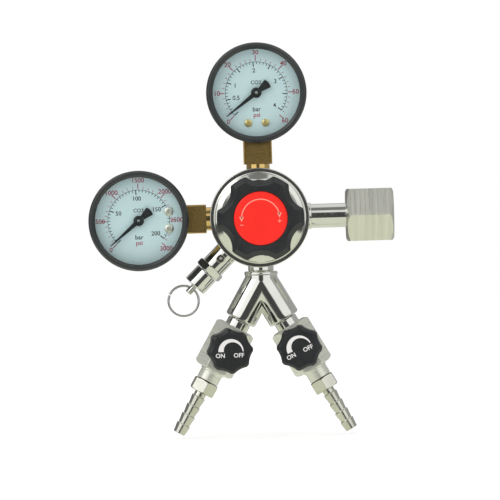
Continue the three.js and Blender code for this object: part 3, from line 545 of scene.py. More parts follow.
CHROME = chrome("chrome", (0.8, 0.81, 0.79), (0.72, 0.73, 0.71))
DOME_CHROME = chrome("dome_chrome", (0.8, 0.81, 0.78), (0.72, 0.73, 0.7), (0.05, 0.11), 0.15)
NUT_NICKEL = machined("nut_nickel", (0.84, 0.84, 0.77), (0.7, 0.71, 0.66), 0, 0.25, 1)
VALVE_NICKEL = {}
for side in VALVE_SIDE:
    name, turn = f"{side}_valve_nickel", leg_to_x(side)
    VALVE_NICKEL[side] = machined(name, (0.82, 0.83, 0.74), (0.72, 0.73, 0.66), turn, 0.35, 0.65)
BARB_NICKEL = chrome("barb_nickel", (0.72, 0.72, 0.66), (0.6, 0.61, 0.55), (0.12, 0.22), 0.35)
BRASS = chrome("brass", (0.5, 0.35, 0.13), (0.42, 0.28, 0.1), (0.26, 0.32), 0.08)
# A lighter, glossier copy of the brass. Its lower roughness is real polish, but its lighter colour is a
# painted highlight for the socket necks.
BRASS_WITH_PAINTED_HIGHLIGHT = chrome("brass_with_painted_highlight", (0.8, 0.58, 0.25), (0.7, 0.48, 0.18), (0.08, 0.16), 0.3)
SCREW_BRASS = chrome("screw_brass", (0.9, 0.74, 0.36), (0.8, 0.62, 0.28), (0.34, 0.42), 0.2)
SCREW_STEEL = chrome("screw_steel", (0.93, 0.92, 0.84), (0.84, 0.83, 0.76), (0.32, 0.4), 0.2)
STEEL = chrome("steel", (0.56, 0.57, 0.58), (0.46, 0.47, 0.48), (0.2, 0.32), 0.2)
KNOB_BLACK = moulded("knob_black", (0.012, 0.014, 0.016), (0.02, 0.023, 0.025), (0.28, 0.4), 0.2)
CASE_ENAMEL = moulded("case_enamel", (0.022, 0.027, 0.028), (0.031, 0.036, 0.037), (0.28, 0.38), 0.1, 0.25)
CAP_RED = moulded("cap_red", (0.98, 0.02, 0.01), (0.94, 0.017, 0.008), (0.36, 0.46), 0.08, gloss=0.3)
DIAL_WHITE = moulded("dial_white", (0.7, 0.85, 0.86), (0.68, 0.83, 0.84), (0.45, 0.55), 0.05)
POINTER_BLACK = moulded("pointer_black", (0.008, 0.01, 0.012), (0.014, 0.016, 0.018), (0.35, 0.45), 0.05)
RUBBER = moulded("rubber", (0.014, 0.014, 0.014), (0.024, 0.024, 0.024), (0.6, 0.75), 0.4)
NYLON = moulded("nylon", (0.72, 0.68, 0.58), (0.66, 0.62, 0.52), (0.45, 0.6), 0.3)
BLACK_INK = printed("black_ink", (0.012, 0.014, 0.018), (0.024, 0.026, 0.032))
RED_INK = printed("red_ink", (0.4, 0.03, 0.08), (0.48, 0.07, 0.13))
CAP_INK = printed("cap_ink", (0.98, 0.33, 0.25), (0.95, 0.28, 0.2))
KNOB_INK = printed("knob_ink", (0.86, 0.84, 0.82), (0.78, 0.76, 0.74))
GLASS = window_glass()


# ------------------------ regulator

CAP_PRINT_DEPTH = 0.03
PORT_ANGLES = (TOP_PORT, LEFT_PORT, INLET_PORT, RELIEF_PORT, OUTLET_PORT)


def add_body():
    """The round cast body, with a groove turned in its back and a boss for each port."""
    radius, back, front, chamfer = 25, 14, -12, 1.5
    outline = [(0, back), (radius - chamfer, back), (radius, back - chamfer), (radius, front), (0, front)]
    inner, outer, floor, above = 17.2, 18.4, back - 0.5, back + 1
    groove_outline = [(inner, above), (outer, above), (outer, floor), (inner, floor)]
    groove = lathe(rounded(groove_outline, 0.3, closed=True), about_y, closed=True)
    bosses = [moved(rod(7.2, 10, BOSS_END, 0.7), turned(angle, "Y")) for angle in PORT_ANGLES]
    shape = cut(joined(lathe(rounded(outline, 0.8), about_y), *bosses), groove)
    add_piece("body_casting", shape, AT_CENTRE, CHROME, "chrome", "regulator_body")


def add_bonnet():
    """The domed bonnet: straight skirt, flat rim that faces the front, cove, dome and neck for the screw."""
    radius, inner, skirt_end, rim_front = 27.25, 25.3, -7.5, -17
    top, neck, bore, neck_end, roof = -32, 9, 5.3, -35, -14
    dome = [(24.3, -18.0, 1.2), (20.4, -20.45, 6), (18.5, -24.3, 7), (17.3, -28.5, 8), (15.8, top, 1.5)]
    outline = [
        (inner, skirt_end, 0.2), (radius, skirt_end, 0.6), (radius, rim_front, 0.4), (24.8, rim_front, 0.8),
        *dome, (neck, top, 0.5), (neck, neck_end, 0.4), (bore, neck_end, 0.2), (bore, roof, 0.2),
        (inner, roof, 0.2),
    ]
    shape = lathe(rounded(outline, 0.3, closed=True, steps=8), about_y, FINE_SEGMENTS, closed=True)
    add_piece("bonnet_dome", shape, AT_CENTRE, DOME_CHROME, "chrome", "bonnet")


def scalloped(angle, inset, lobe, lobes, centre, scallop, phase, softness):
    """The reach of an outline whose round rim has circular scallops between its lobes, offset inwards."""
    rim = lobe - inset
    turn = (angle - phase) % (TAU / lobes) - TAU / lobes / 2
    across = (scallop + inset) ** 2 - (centre * math.sin(turn)) ** 2
    if across <= 0:
        return rim
    bite = centre * math.cos(turn) - math.sqrt(across)
    gap = bite - rim
    return (rim + bite - math.sqrt(gap * gap + softness * softness)) / 2 if gap < 4 * softness else rim


def knob_columns(points, count, **outline):
    """Columns of a scalloped knob; a point of its profile is (inset, y), or (radius, y, "round")."""
    columns = []
    for angle in even_angles(count):
        profile = [
            (point[0], point[1]) if len(point) > 2 else (scalloped(angle, point[0], **outline), point[1])
            for point in points
        ]
        columns.append((angle, profile))
    return columns


def knob_side(back, front, bevel):
    """The side of a knob from its back edge to the bevel at its front, as (inset, y)."""
    beyond = 1  # ends of the outline that only set the direction of its corners
    outline = [(1.2, back), (0, back), (0, front + bevel), (bevel, front), (bevel + beyond, front)]
    return rounded(outline, 0.35)[1:-1]


def add_adjusting_knob():
    """The six-lobed black knob, with a recess for the red cap and a wider bore at its back."""
    back, front, rear_floor, cap_floor = -35, -55, -39.2, -52.4
    rear, bore, rim = 10.5, 5.3, 14.8
    points = [
        (rear, rear_floor, "round"), (rear, back - GAP, "round"), (rear + 0.4, back, "round"),
        *knob_side(back, front, 2.7),
        (rim + 0.3, front, "round"), (rim, front + 0.2, "round"), (rim, cap_floor, "round"),
        (bore, cap_floor, "round"), (bore, rear_floor, "round"),
    ]
    outline = dict(lobe=23.7, lobes=6, centre=31.9, scallop=11.9, phase=TAU / 4, softness=0.35)
    shape = swept(knob_columns(points, 360, **outline), about_y, closed=True)
    add_piece("knob_moulding", shape, AT_CENTRE, KNOB_BLACK,
              "black_plastic", "adjusting_knob", body="adjusting_knob")


def add_cap():
    """The red cap with its double-headed arrow, minus and plus."""
    radius, back, front = 14.5, -52.8, -55.6
    outline = [(0, back), (radius, back), (radius, front + 0.75, 0.25), (radius - 1, front, 0.3), (0, front)]
    disc = lathe(rounded(outline, 0.2), about_y, FINE_SEGMENTS)
    add_piece("cap_disc", disc, AT_CENTRE, CAP_RED, "red_plastic", "knob_cap", body="adjusting_knob")

    start, end, reach, line = math.radians(-89), math.radians(79), 10.35, 0.3
    head, half_head, drop, sign, stroke = 2, 1.25, 3.6, 0.95, 0.2
    marks = [arc_band(lambda s: reach - line, lambda s: reach + line, start, end, front, CAP_PRINT_DEPTH)]
    for angle in (start, end):
        x, z = reach * math.sin(angle), reach * math.cos(angle)
        arrow = [(x - half_head, z + 0.9), (x + half_head, z + 0.9), (x, z - head)]
        marks.append(plate(arrow, front, CAP_PRINT_DEPTH))
        z -= drop
        marks.append(oblong((x - sign, z - stroke), (x + sign, z + stroke), front, CAP_PRINT_DEPTH))
        if angle == end:
            proud = front - 0.005  # of the stroke that it crosses
            marks.append(oblong((x - stroke, z - sign), (x + stroke, z + sign), proud, CAP_PRINT_DEPTH))
    add_piece("cap_arrow_print", gathered(marks), AT_CENTRE, CAP_INK, "red_plastic", body="adjusting_knob")


# ------------------------ inlet

def add_inlet():
    """The inlet stem with its collar and flange, and the washer on the flange."""
    bore, collar, radius, flange = 2, 7.2, 6.6, 10.2
    collar_end, flange_start, end = 28.3, 51.4, 56
    outline = [
        *screwed_in(bore), (collar, SHOULDER, 0.5), (collar, collar_end, 0.5), (radius, collar_end, 0.15),
        (radius, flange_start), (flange, flange_start, 0.5), (flange, end, 0.8), (bore, end),
    ]
    stem = lathe(rounded(outline, 0.3, closed=True), segments=FINE_SEGMENTS, closed=True)
    add_piece("inlet_stem", stem, at_port(INLET_PORT), CHROME, "chrome", "inlet_nipple")
    washer = rod(9.5, end + GAP, end + GAP + 2, 0.5, bore=3.5)
    add_piece("sealing_washer", washer, at_port(INLET_PORT), NYLON, "nylon", "inlet_washer")


def add_nut():
    """The cylinder nut: a turned hexagon with an internal thread."""
    flats, start, end, cone, bore = 28.6, 47.5, 73.7, 13.1, 7.1
    wall_end, crest, root, pitch = 51, 10.9, 11.9, 1.81
    thread_start, thread_end = wall_end + 1.2, end - 1.6
    rows_per_pitch = 8
    rows = int((thread_end - thread_start) / pitch * rows_per_pitch)

    def thread(angle):
        points = []
        for row in range(rows + 1):
            along = thread_start + (thread_end - thread_start) * row / rows
            phase = (along / pitch - angle / TAU) % 1
            depth = abs(2 * phase - 1)
            points.append((crest + (root - crest) * depth, along))
        return points

    def profile(angle, reach):
        rise = (reach - cone) * CHAMFER_SLOPE
        outside = [(bore, start), (cone, start), (reach, start + rise), (reach, end - rise), (cone, end)]
        mouth = [(root + 0.5, end), (crest, end - 1.2)]
        return [*outside, *mouth, *reversed(thread(angle)), (crest, wall_end), (bore, wall_end)]

    columns = [(angle, profile(angle, reach)) for angle, reach in hexagon_rays(flats, 0.5)]
    shape = swept(columns, about_z, closed=True)
    add_piece("cylinder_nut", shape, at_port(INLET_PORT), NUT_NICKEL,
              "satin_nickel", "inlet_nut", body="inlet_nut")


# ------------------------ gauges

PRINT_DEPTH = 0.02
DIAL_FACE = -10.0
ZERO = math.radians(-135)
NUMBER_SHIFT = 0.45  # towards the dial's middle, for each character after the first
BLACK_SCALE = {"long": (14.4, 17, 0.55), "short": (15.7, 17, 0.36), "number": (12.2, 2.3)}
RED_SCALE = {"long": (17.5, 20.6, 0.5), "short": (17.5, 18.8, 0.3), "number": (22.1, 2.5)}
CASE_RADIUS, CASE_WALL, CASE_BACK, CASE_FRONT = 26.6, 1.2, 9.5, -13.9
BEZEL_RADIUS, BEZEL_BACK, BEZEL_FRONT = 27.5, -9, -18
SOCKET_HALF, SOCKET_BAR_END = 7, 30.05
GAUGES = {
    "low": {
        "towards": TOP_PORT, "rest": math.radians(-127.5), "psi": 10, "bar": (math.radians(32.6), 8, 5),
        "bar_labels": [(1, "0.5"), (2, "1"), (4, "2"), (6, "3"), (8, "4")],
        "screw": (2.1, 1.3, SCREW_BRASS, "brass"),
    },
    "high": {
        "towards": LEFT_PORT, "rest": math.radians(-130.5), "psi": 500, "bar": (math.radians(65.3), 4, 10),
        "bar_labels": [(1, "50"), (2, "100"), (3, "150"), (4, "200")],
        "screw": (2.5, 0.5, SCREW_STEEL, "steel"),
    },
}


def tick(angle, inner, outer, width):
    shape = oblong((-width / 2, inner), (width / 2, outer), DIAL_FACE, PRINT_DEPTH)
    return moved(shape, turned(angle, "Y"))


def dial_text(text, height, x, z):
    place = Matrix.Translation((x, DIAL_FACE - PRINT_DEPTH / 2, z))
    return moved(lettering(text, height, PRINT_DEPTH), place)


def scale(style, step, count, minors, labels):
    """Ticks and numbers: step is the angle between long ticks, minors the divisions between two of them."""
    marks = []
    for i in range(count * minors + 1):
        marks.append(tick(ZERO + step * i / minors, *style["short" if i % minors else "long"]))
    radius, height = style["number"]
    for at, text in labels:
        angle = ZERO + step * at
        across = radius - NUMBER_SHIFT * (len(text) - 1)
        marks.append(dial_text(text, height, across * math.sin(angle), radius * math.cos(angle)))
    return marks


def black_print(gauge):
    """The inner scale, in bar, with its arc."""
    step, count, minors = gauge["bar"]
    arc = arc_band(lambda s: 16.85, lambda s: 17.1, ZERO, ZERO + step * count, DIAL_FACE, PRINT_DEPTH)
    marks = scale(BLACK_SCALE, step, count, minors, gauge["bar_labels"])
    return [arc, *marks, dial_text("CO2", 2.0, 0, 5.6), dial_text("bar", 2.4, 0, -9.1)]


def red_print(gauge):
    """The outer scale, in psi, with its numbers at the rim."""
    steps = 6
    labels = [(i, str(gauge["psi"] * i)) for i in range(steps + 1)]
    return [*scale(RED_SCALE, math.radians(45), steps, 5, labels), dial_text("psi", 2.4, 0, -12.2)]


def pointer_shape():
    """A tapered blade up, a round hub with a small pin, and a fan-shaped tail."""
    blade = [(0.25, 20.8), (1.15, 3.2), (1.3, -2.6), (2.65, -8.0), (1.6, -8.55), (0, -8.75)]
    outline = blade + [(-x, z) for x, z in reversed(blade) if x > 0]
    back, thickness, hub, pin = -11.8, 0.5, 2.9, 0.85
    disc = lathe(rounded([(0, -11.6), (hub, -11.6), (hub, -12.7, 0.3), (0, -12.9)], 0.1), about_y)
    peg = lathe(rounded([(0, -12.5), (pin, -12.5), (pin, -13.1, 0.3), (0, -13.2)], 0.1), about_y)
    return joined(plate(outline, back, thickness), disc), peg


def screw_head(radius, slot_turn):
    """A pan head with a straight slot, on a shank that enters the dial."""
    shank, seat, top = radius * 0.5, DIAL_FACE - 0.05, DIAL_FACE - 1.0
    outline = [
        (0, -9.5), (shank, -9.5), (shank, seat), (radius, seat, 0.1), (radius, top + 0.35, 0.3),
        (radius * 0.55, top, 0.6), (0, top),
    ]
    reach, half, depth = radius * 1.2, 0.28, 0.38
    slot = moved(box((-reach, top - 0.2, -half), (reach, top + depth, half)), turned(slot_turn, "Y"))
    return cut(lathe(rounded(outline, 0.1), about_y, 48), slot)


def case_shape():
    """The pressed case, with a square hole for the socket."""
    inside, step, half = CASE_RADIUS - CASE_WALL, CASE_BACK - 0.7, SOCKET_HALF + 0.1
    outline = [
        (0, CASE_BACK), (20.5, CASE_BACK, 0.6), (21.3, step, 0.4), (CASE_RADIUS - 1.5, step, 0.8),
        (CASE_RADIUS, 7.4, 1.2), (CASE_RADIUS, CASE_FRONT, 0.2), (inside, CASE_FRONT, 0.2),
        (inside, CASE_BACK - CASE_WALL, 0.8), (0, CASE_BACK - CASE_WALL),
    ]
    hole = box((-half, -half, -40), (half, half, -20))
    return cut(lathe(rounded(outline, 0.3), about_y, FINE_SEGMENTS), hole)


def bezel_shape():
    """The press-on ring, whose lip stands in front of the window."""
    inside, lip, seat = 26.85, 23.8, -16.5
    outline = [
        (inside, BEZEL_BACK, 0.15), (BEZEL_RADIUS, BEZEL_BACK, 0.3), (BEZEL_RADIUS, BEZEL_FRONT + 1.3, 0.9),
        (26.4, BEZEL_FRONT, 0.7), (lip + 1.5, BEZEL_FRONT, 0.3), (lip + 0.1, seat - 0.4, 0.2),
        (lip, seat, 0.1), (inside, seat, 0.1),
    ]
    return lathe(rounded(outline, 0.2, closed=True), about_y, FINE_SEGMENTS, closed=True)


def window_shape():
    radius, back, front = 26.3, -14.3, -16.1
    outline = [(0, back), (radius, back), (radius, front), (0, front - 0.05)]
    return lathe(rounded(outline, 0.3), about_y, FINE_SEGMENTS)


def add_gauge(prefix):
    """One gauge: case, bezel, window, dial and its print, screws, socket and pointer."""
    gauge = GAUGES[prefix]
    centre = middle(f"{prefix}_gauge_bezel")
    upright = Matrix.Translation(centre)
    turned_in = upright @ turned(gauge["towards"], "Y")

    def add_fixed(name, shape, material, slot, node):
        add_piece(f"{prefix}_{name}", shape, turned_in, material, slot, f"{prefix}_gauge_{node}")

    add_fixed("case_shell", case_shape(), CASE_ENAMEL, "black_enamel", "case")
    add_fixed("bezel_ring", bezel_shape(), CASE_ENAMEL, "black_enamel", "bezel")
    add_fixed("window_pane", window_shape(), GLASS, "window", "window")
    face = rod(24.6, -9.4, DIAL_FACE, 0.15, about_y, FINE_SEGMENTS, bore=1.6)
    add_fixed("dial_face", face, DIAL_WHITE, "dial_enamel", "dial")
    for colour, ink, marks in (("black", BLACK_INK, black_print(gauge)), ("red", RED_INK, red_print(gauge))):
        add_piece(f"{prefix}_dial_{colour}_print", gathered(marks), upright, ink, "dial_enamel")

    radius, slot_turn, metal, slot = gauge["screw"]
    for letter, across in (("a", -4.7), ("b", 4.7)):
        head = moved(screw_head(radius, slot_turn), Matrix.Translation((across, 0, -16.5)))
        add_fixed(f"screw_head_{letter}", head, metal, slot, f"dial_screw_{letter}")

    bar, neck = socket_shapes((centre - CENTRE).length)
    add_fixed("socket_body", bar, BRASS, "brass", "socket")
    # The neck takes the lighter copy of the socket's brass, whose colour paints in its highlights.
    add_piece(f"{prefix}_socket_neck", neck, turned_in, BRASS_WITH_PAINTED_HIGHLIGHT, "brass")

    swing = upright @ turned(gauge["rest"], "Y")
    blade, pin = pointer_shape()
    node = f"{prefix}_pointer"
    add_piece(f"{node}_blade", blade, swing, POINTER_BLACK,
              "pointer_black", f"{prefix}_gauge_pointer", body=node)
    add_piece(f"{node}_pin", pin, swing, STEEL, "steel", body=node)


def socket_shapes(distance):
    """The brass socket: a square bar, its block inside the case, and the turned neck that enters the bar."""
    bar_end, shoulder, thread_end = SOCKET_BAR_END - distance, SHOULDER - distance, THREAD_END - distance
    half, radius, groove = SOCKET_HALF, 6.4, 6.0
    # low and high ends are swapped, so the bar's faces point inward and its bevel widens it
    bar = bevelled_box((-half, -half, -23.6), (half, half, bar_end), 0.8)
    block = bevelled_box((-half, -8.6, -23.4), (half, -0.5, -13.8), 0.3)
    outline = [
        (0, thread_end), (THREAD_RADIUS, thread_end), (THREAD_RADIUS, shoulder), (radius, shoulder, 0.5),
        (radius, bar_end + 2.1, 0.4), (groove, bar_end + 1.9), (groove, bar_end + 1.5),
        (radius + 0.05, bar_end + 1.3, 0.5), (radius + 0.05, bar_end - 0.5), (0, bar_end - 0.5),
    ]
    return gathered([bar, block]), lathe(rounded(outline, 0.15))


# ------------------------ relief valve

RING_TILT = math.radians(9)
RING_HOLE_ALONG = 53.85
COLLAR_END, COLLAR_TURN = 41.8, math.radians(12)
VENT_ALONG, VENT_RADIUS = 31.2, 1.9


def relief_neck():
    """The neck with its hexagon collar, and a countersunk vent in front."""
    radius, end = 6.6, 38
    outline = [*screwed_in(), (radius, SHOULDER, 0.4), (radius, end, 0.2), (0, end)]
    collar = moved(hex_bar(14.5, end - 0.5, COLLAR_END, 6.9, corner=0.25), turned(COLLAR_TURN, "Z"))
    at_vent = Matrix.Translation((0, 0, VENT_ALONG))
    vent = moved(rod(VENT_RADIUS, -9, -3, 0, about_y, 40), at_vent)
    cone = [(0, -5.6), (VENT_RADIUS, -5.6), (VENT_RADIUS + 1, -7.2), (0, -7.2)]
    countersink = moved(lathe(cone, about_y, 40), at_vent)
    return cut(joined(lathe(rounded(outline, 0.3)), collar), vent, countersink)


def relief_cap():
    """The cap, with the spigot that enters the collar and a bore for the stem."""
    radius, bore, start, end, spigot, spigot_start = 6.6, 1.6, COLLAR_END + GAP, 52, 3.7, 39.7
    outline = [
        (bore, spigot_start), (spigot, spigot_start), (spigot, start), (radius, start, 0.5),
        (radius, end, 0.7), (bore, end, 0.2),
    ]
    return lathe(rounded(outline, 0.1, closed=True), closed=True)


def relief_stem():
    """The stem, with a groove in its head and a cross hole for the ring."""
    radius, head, groove, start, head_start, end = 1.3, 1.9, 1.6, 33.2, 52.3, 57.2
    outline = [
        (0, start), (radius, start), (radius, head_start), (head, head_start, 0.3), (head, 52.7),
        (groove, 52.8), (groove, 53.1), (head, 53.2), (head, end, 0.7), (0, end),
    ]
    hole = moved(rod(1.2, -4, 4, 0, segments=32), turned(TAU / 4 - RING_TILT, "Y"))
    at_hole = Matrix.Translation((0, 0, RING_HOLE_ALONG))
    return cut(lathe(rounded(outline, 0.1), segments=64), moved(hole, at_hole))


def add_relief_valve():
    """The relief valve: drilled neck, hexagon collar, cap, stem and the wire ring through it."""
    here = at_port(RELIEF_PORT)
    add_piece("relief_neck", relief_neck(), here, CHROME, "chrome", "relief_body")
    add_piece("relief_cap_turned", relief_cap(), here, CHROME, "chrome", "relief_cap")
    add_piece("relief_stem_pin", relief_stem(), here, CHROME, "chrome", "relief_stem", body="relief_stem")
    add_ring(here)


def add_ring(here):
    """A ring of round wire whose ends meet in a small gap, behind the stem."""
    radius, wire, sides, steps = 8.3, 0.65, 16, 120
    opening, swing = math.radians(4), math.radians(70)
    loops = []
    for step in range(steps + 1):
        angle = opening / 2 + (TAU - opening) * step / steps
        outward = Vector((math.sin(angle), 0, math.cos(angle)))
        loops.append([
            outward * (radius + wire * math.cos(turn)) + Vector((0, wire * math.sin(turn), 0))
            for turn in even_angles(sides)
        ])
    offset = Vector((-radius * math.sin(RING_TILT), 0, RING_HOLE_ALONG + radius * math.cos(RING_TILT)))
    matrix = here @ Matrix.Translation(offset) @ turned(swing, "Y")
    add_piece("pull_ring_wire", skinned(loops), matrix, STEEL, "chrome", "relief_ring", body="relief_ring")


# ------------------------ outlet and wye

NIPPLE_COLLAR_END = 29.3


def add_outlet():
    """The short outlet nipple, which screws into the body and into the wye."""
    collar, collar_end, end = 7, NIPPLE_COLLAR_END, 34
    outline = [
        *screwed_in(), (collar, SHOULDER, 0.5), (collar, collar_end, 0.5), (THREAD_RADIUS, collar_end),
        (THREAD_RADIUS, end), (0, end),
    ]
    shape = lathe(rounded(outline, 0.2))
    add_piece("outlet_stub", shape, at_port(OUTLET_PORT), CHROME, "chrome", "outlet_nipple")


def add_wye():
    """The wye: a head with a bead round its mouth, and two legs."""
    tube, bead, mouth = 8.85, 9.15, NIPPLE_COLLAR_END + GAP
    lip = [(0, mouth), (bead, mouth, 0.9), (bead, mouth + 1.7, 0.2), (tube, mouth + 1.9, 0.1)]
    barrel = even_rows(tube, mouth + 2.4, WYE_JUNCTION)
    head = lathe(rounded(lip + barrel + ball_end(tube, WYE_JUNCTION), 0.3), segments=FINE_SEGMENTS)
    ball = [(radius, -along) for radius, along in reversed(ball_end(tube, 0))]
    outline = ball + even_rows(tube, 0.5, LEG_END - 3) + [(tube, LEG_END, 1.3), (0, LEG_END)]
    legs = []
    for side in VALVE_SIDE.values():
        matrix = Matrix.Translation((0, 0, WYE_JUNCTION)) @ turned(side * -WYE_SPREAD, "Y")
        legs.append(moved(lathe(rounded(outline, 0), segments=FINE_SEGMENTS), matrix))
    add_piece("wye_casting", joined(head, *legs), at_port(OUTLET_PORT), CHROME, "chrome", "wye_manifold")


# ------------------------ shut-off valves

LABEL_TURN = {"left": 0.0, "right": math.radians(-25)}
KNOB_PHASE = {"left": math.radians(11), "right": math.radians(-13)}


def add_valve(side):
    """One shut-off valve: hexagon body, gland nut, spindle, knob with its label, and hose barb."""
    here = at_valve(side)
    start, end, thread_start, shoulder = 29, 56, 17.6, LEG_END + GAP
    bar = moved(hex_bar(20, start, end, 9.4, corner=0.5), turned(TAU / 12, "Z"))
    inlet_radius, outlet_radius, outlet_end = 6.5, 6.2, 62.3
    inlet = [
        (0, thread_start), (THREAD_RADIUS, thread_start), (THREAD_RADIUS, shoulder),
        (inlet_radius, shoulder, 0.5), (inlet_radius, start + 1), (0, start + 1),
    ]
    outlet = [
        (0, end - 1), (outlet_radius + 0.5, end - 1), (outlet_radius + 0.5, end + 1, 0.5),
        (outlet_radius, end + 1.2), (outlet_radius, outlet_end), (0, outlet_end),
    ]
    body = joined(bar, lathe(rounded(outlet, 0.2)))
    add_piece(f"{side}_valve_bar", body, here, VALVE_NICKEL[side], "satin_nickel", f"{side}_valve_body")
    add_piece(f"{side}_valve_inlet", lathe(rounded(inlet, 0.2)), here, CHROME, "chrome")
    add_barb(side, here, outlet_end + GAP)

    knob_place, bore = at_valve_knob(side), 2.5
    nut = hex_bar(10.8, -12.9, -11.2, 5.1, 0.25, about_y, bore)
    gland = joined(nut, rod(6.4, -11.3, -10.3, 0.3, about_y, bore=bore))
    add_piece(f"{side}_gland_hexagon", gland, knob_place, BARB_NICKEL, "chrome", f"{side}_gland_nut")
    spindle = rod(2.2, -21.7, -3.3, 0.3, about_y, 48)
    knob = f"{side}_knob"
    add_piece(f"{side}_spindle_rod", spindle, knob_place, STEEL, "steel", f"{side}_valve_spindle", body=knob)
    add_valve_knob(side, knob_place, knob)


def add_valve_knob(side, place, body):
    """A black knob with shallow scallops, and its tapered arc between ON and OFF."""
    back, front, bore, bore_end, print_depth = -16, -25.5, 2.5, -22, 0.03
    points = [
        (0, bore_end, "round"), (bore, bore_end, "round"), (bore, back - GAP, "round"),
        (bore + GAP, back, "round"), *knob_side(back, front, 1.4), (0, front, "round"),
    ]
    outline = dict(lobe=12.4, lobes=8, centre=23.4, scallop=12.2, phase=KNOB_PHASE[side], softness=0.2)
    shape = swept(knob_columns(points, 320, **outline), about_y)
    name = f"{side}_valve_knob"
    add_piece(f"{side}_knob_moulding", shape, place, KNOB_BLACK, "black_plastic", name, body=body)

    leg_turn = OUTLET_PORT + VALVE_SIDE[side] * WYE_SPREAD
    label = place @ turned(-leg_turn + LABEL_TURN[side], "Y")
    quarter, inner, outer, growth = TAU / 4, 3.9, 6.95, 2.5
    arc = arc_band(lambda s: inner + growth * s, lambda s: outer, -quarter, quarter, front, print_depth)
    words = [
        moved(lettering(text, 2.3, print_depth), Matrix.Translation((x, front - print_depth / 2, -2.2)))
        for text, x in (("ON", -5.9), ("OFF", 4.3))
    ]
    add_piece(f"{side}_knob_label", gathered([arc, *words]), label, KNOB_INK, "black_plastic", body=body)


def add_barb(side, here, start):
    """The hose barb: hexagon, smooth neck and four saw-tooth ridges."""
    root, ridge, bore, ridge_start, end, ridges = 3.25, 3.95, 1.9, 72.2, 95.2, 4
    hexagon_end = 69.7
    neck_start = hexagon_end - 0.7
    pitch = (end - ridge_start) / ridges
    outline = [(bore, neck_start), (root, neck_start), (root, ridge_start, 0.3)]
    for i in range(ridges):
        outline.append((ridge, ridge_start + i * pitch + 0.25, 0.18))
        outline.append((root, ridge_start + (i + 1) * pitch, 0.25))
    outline.append((bore, end, 0.2))
    stem = lathe(rounded(outline, 0.2, closed=True), segments=64, closed=True)
    hexagon = hex_bar(13, start, hexagon_end, 6.1, corner=0.3, bore=bore)
    shape = joined(hexagon, stem)
    add_piece(f"{side}_barb_fitting", shape, here, BARB_NICKEL, "chrome", f"{side}_hose_barb")


# ------------------------ inner pieces kept from the CAD model

GAUGE_PARTS = ("bourdon_tube", "movement_frame", "sector_gear", "pinion")
INNER_NODES = (
    (RUBBER, ["diaphragm", "left_valve_disc", "right_valve_disc"]),
    (BRASS, ["diaphragm_plate", "seat_nozzle", "poppet"]),
    (STEEL, ["poppet_spring", "range_spring", "spring_button", "adjusting_screw", "relief_spring"]),
    (NYLON, ["relief_seal"]),
    (BRASS_WITH_PAINTED_HIGHLIGHT, [f"{prefix}_gauge_{part}" for prefix in GAUGES for part in GAUGE_PARTS]),
)


def finish_inner_pieces():
    for material, nodes in INNER_NODES:
        for node in nodes:
            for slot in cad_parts[node].material_slots:
                slot.material = material


# ------------------------ studio

FLOOR_DROP = 1.2 * MM
LIGHT_FROM = (-0.4, -0.5, 0.77)
CAMERA_DISTANCE = 3.0
PICTURE_WIDTH = 0.275  # what the picture spans at the object's distance
CAMERA_LEFT = math.radians(0.6)
CAMERA_UP = math.radians(0.9)
CAMERA_ROLL = math.radians(-1.6)
AIM_OFFSET = Vector((-5.7, 0, -17.8)) * MM

# The room that the polished parts mirror, in degrees: azimuth 0 is in front and 90 to the right. Each panel
# has azimuths, elevations, brightness, softness at its edge, and whether it is on the left too. Later panels
# are painted over earlier ones.
ROOM_LEVEL = 0.22
PANELS = (
    ((70, 400), (33, 120), 0.8, 8, True),  # high, at the sides and behind
    ((66, 190), (-21, 33), 0.42, 3, False),  # the right side
    ((25, 71), (45, 120), 0.8, 6, True),  # high, half way to the front
    ((-10, 25), (54, 120), 0.22, 6, True),  # dark overhead, in front
    ((-10, 70), (-22, -5), 0.07, 3, True),  # dark band low in front
    ((-20, 20), (30, 52), 0.85, 4, False),  # above the front
    ((-70, -8), (-6, 52), 1.15, 2.5, False),  # the left window
    ((4, 66), (-6, 50), 1.02, 2.5, False),  # the right window
    ((-18, 14), (-22, 2), 0.07, 3, False),  # dark, low between the windows
    ((-7, 3), (0, 30), 0.05, 2.5, False),  # narrow dark strip between the windows
    ((-400, 400), (-120, -20), 0.78, 3, False),  # the floor
)
FLOOR_TINT = (0.98, 1, 0.8)
ROOM_TINT = (1, 1, 0.96)


def heading(azimuth, elevation):
    """A unit vector away from the regulator; azimuth 0 is in front and a quarter turn is to the right."""
    level = math.cos(elevation)
    return Vector((math.sin(azimuth) * level, -math.cos(azimuth) * level, math.sin(elevation)))


def add_floor():
    """A wide pale floor just below the hose barbs."""
    low, _ = cad_bounds
    side, cells = 6.0, 24
    shape = bmesh.new()
    bmesh.ops.create_grid(shape, x_segments=cells, y_segments=cells, size=side / 2)
    floor = linked(mesh_of(shape, "floor"), "floor")
    floor.location = (CENTRE.x * MM, 0, low.z - FLOOR_DROP)
    nodes = Nodes("floor_paper")
    nodes.colour(nodes.noise(3), (0.9, 0.9, 0.9), (0.88, 0.88, 0.88))
    nodes.set(Roughness=0.9, Emission_Color=(1, 1, 1, 1), Emission_Strength=0.35)
    floor.data.materials.append(nodes.material)
    floor.visible_glossy = False


def add_softbox():
    """A square area light up to the left, which faces the regulator."""
    distance = 1.6
    light = bpy.data.lights.new("left_softbox", "AREA")
    light.shape = "RECTANGLE"
    light.size, light.size_y = 1.0, 1.0
    light.energy = 3
    towards = heading(math.radians(-50), math.radians(35))
    made = linked(light, "left_softbox")
    made.location = CENTRE * MM + towards * distance
    made.rotation_euler = towards.to_track_quat("Z", "Y").to_euler()
    made.visible_camera = False


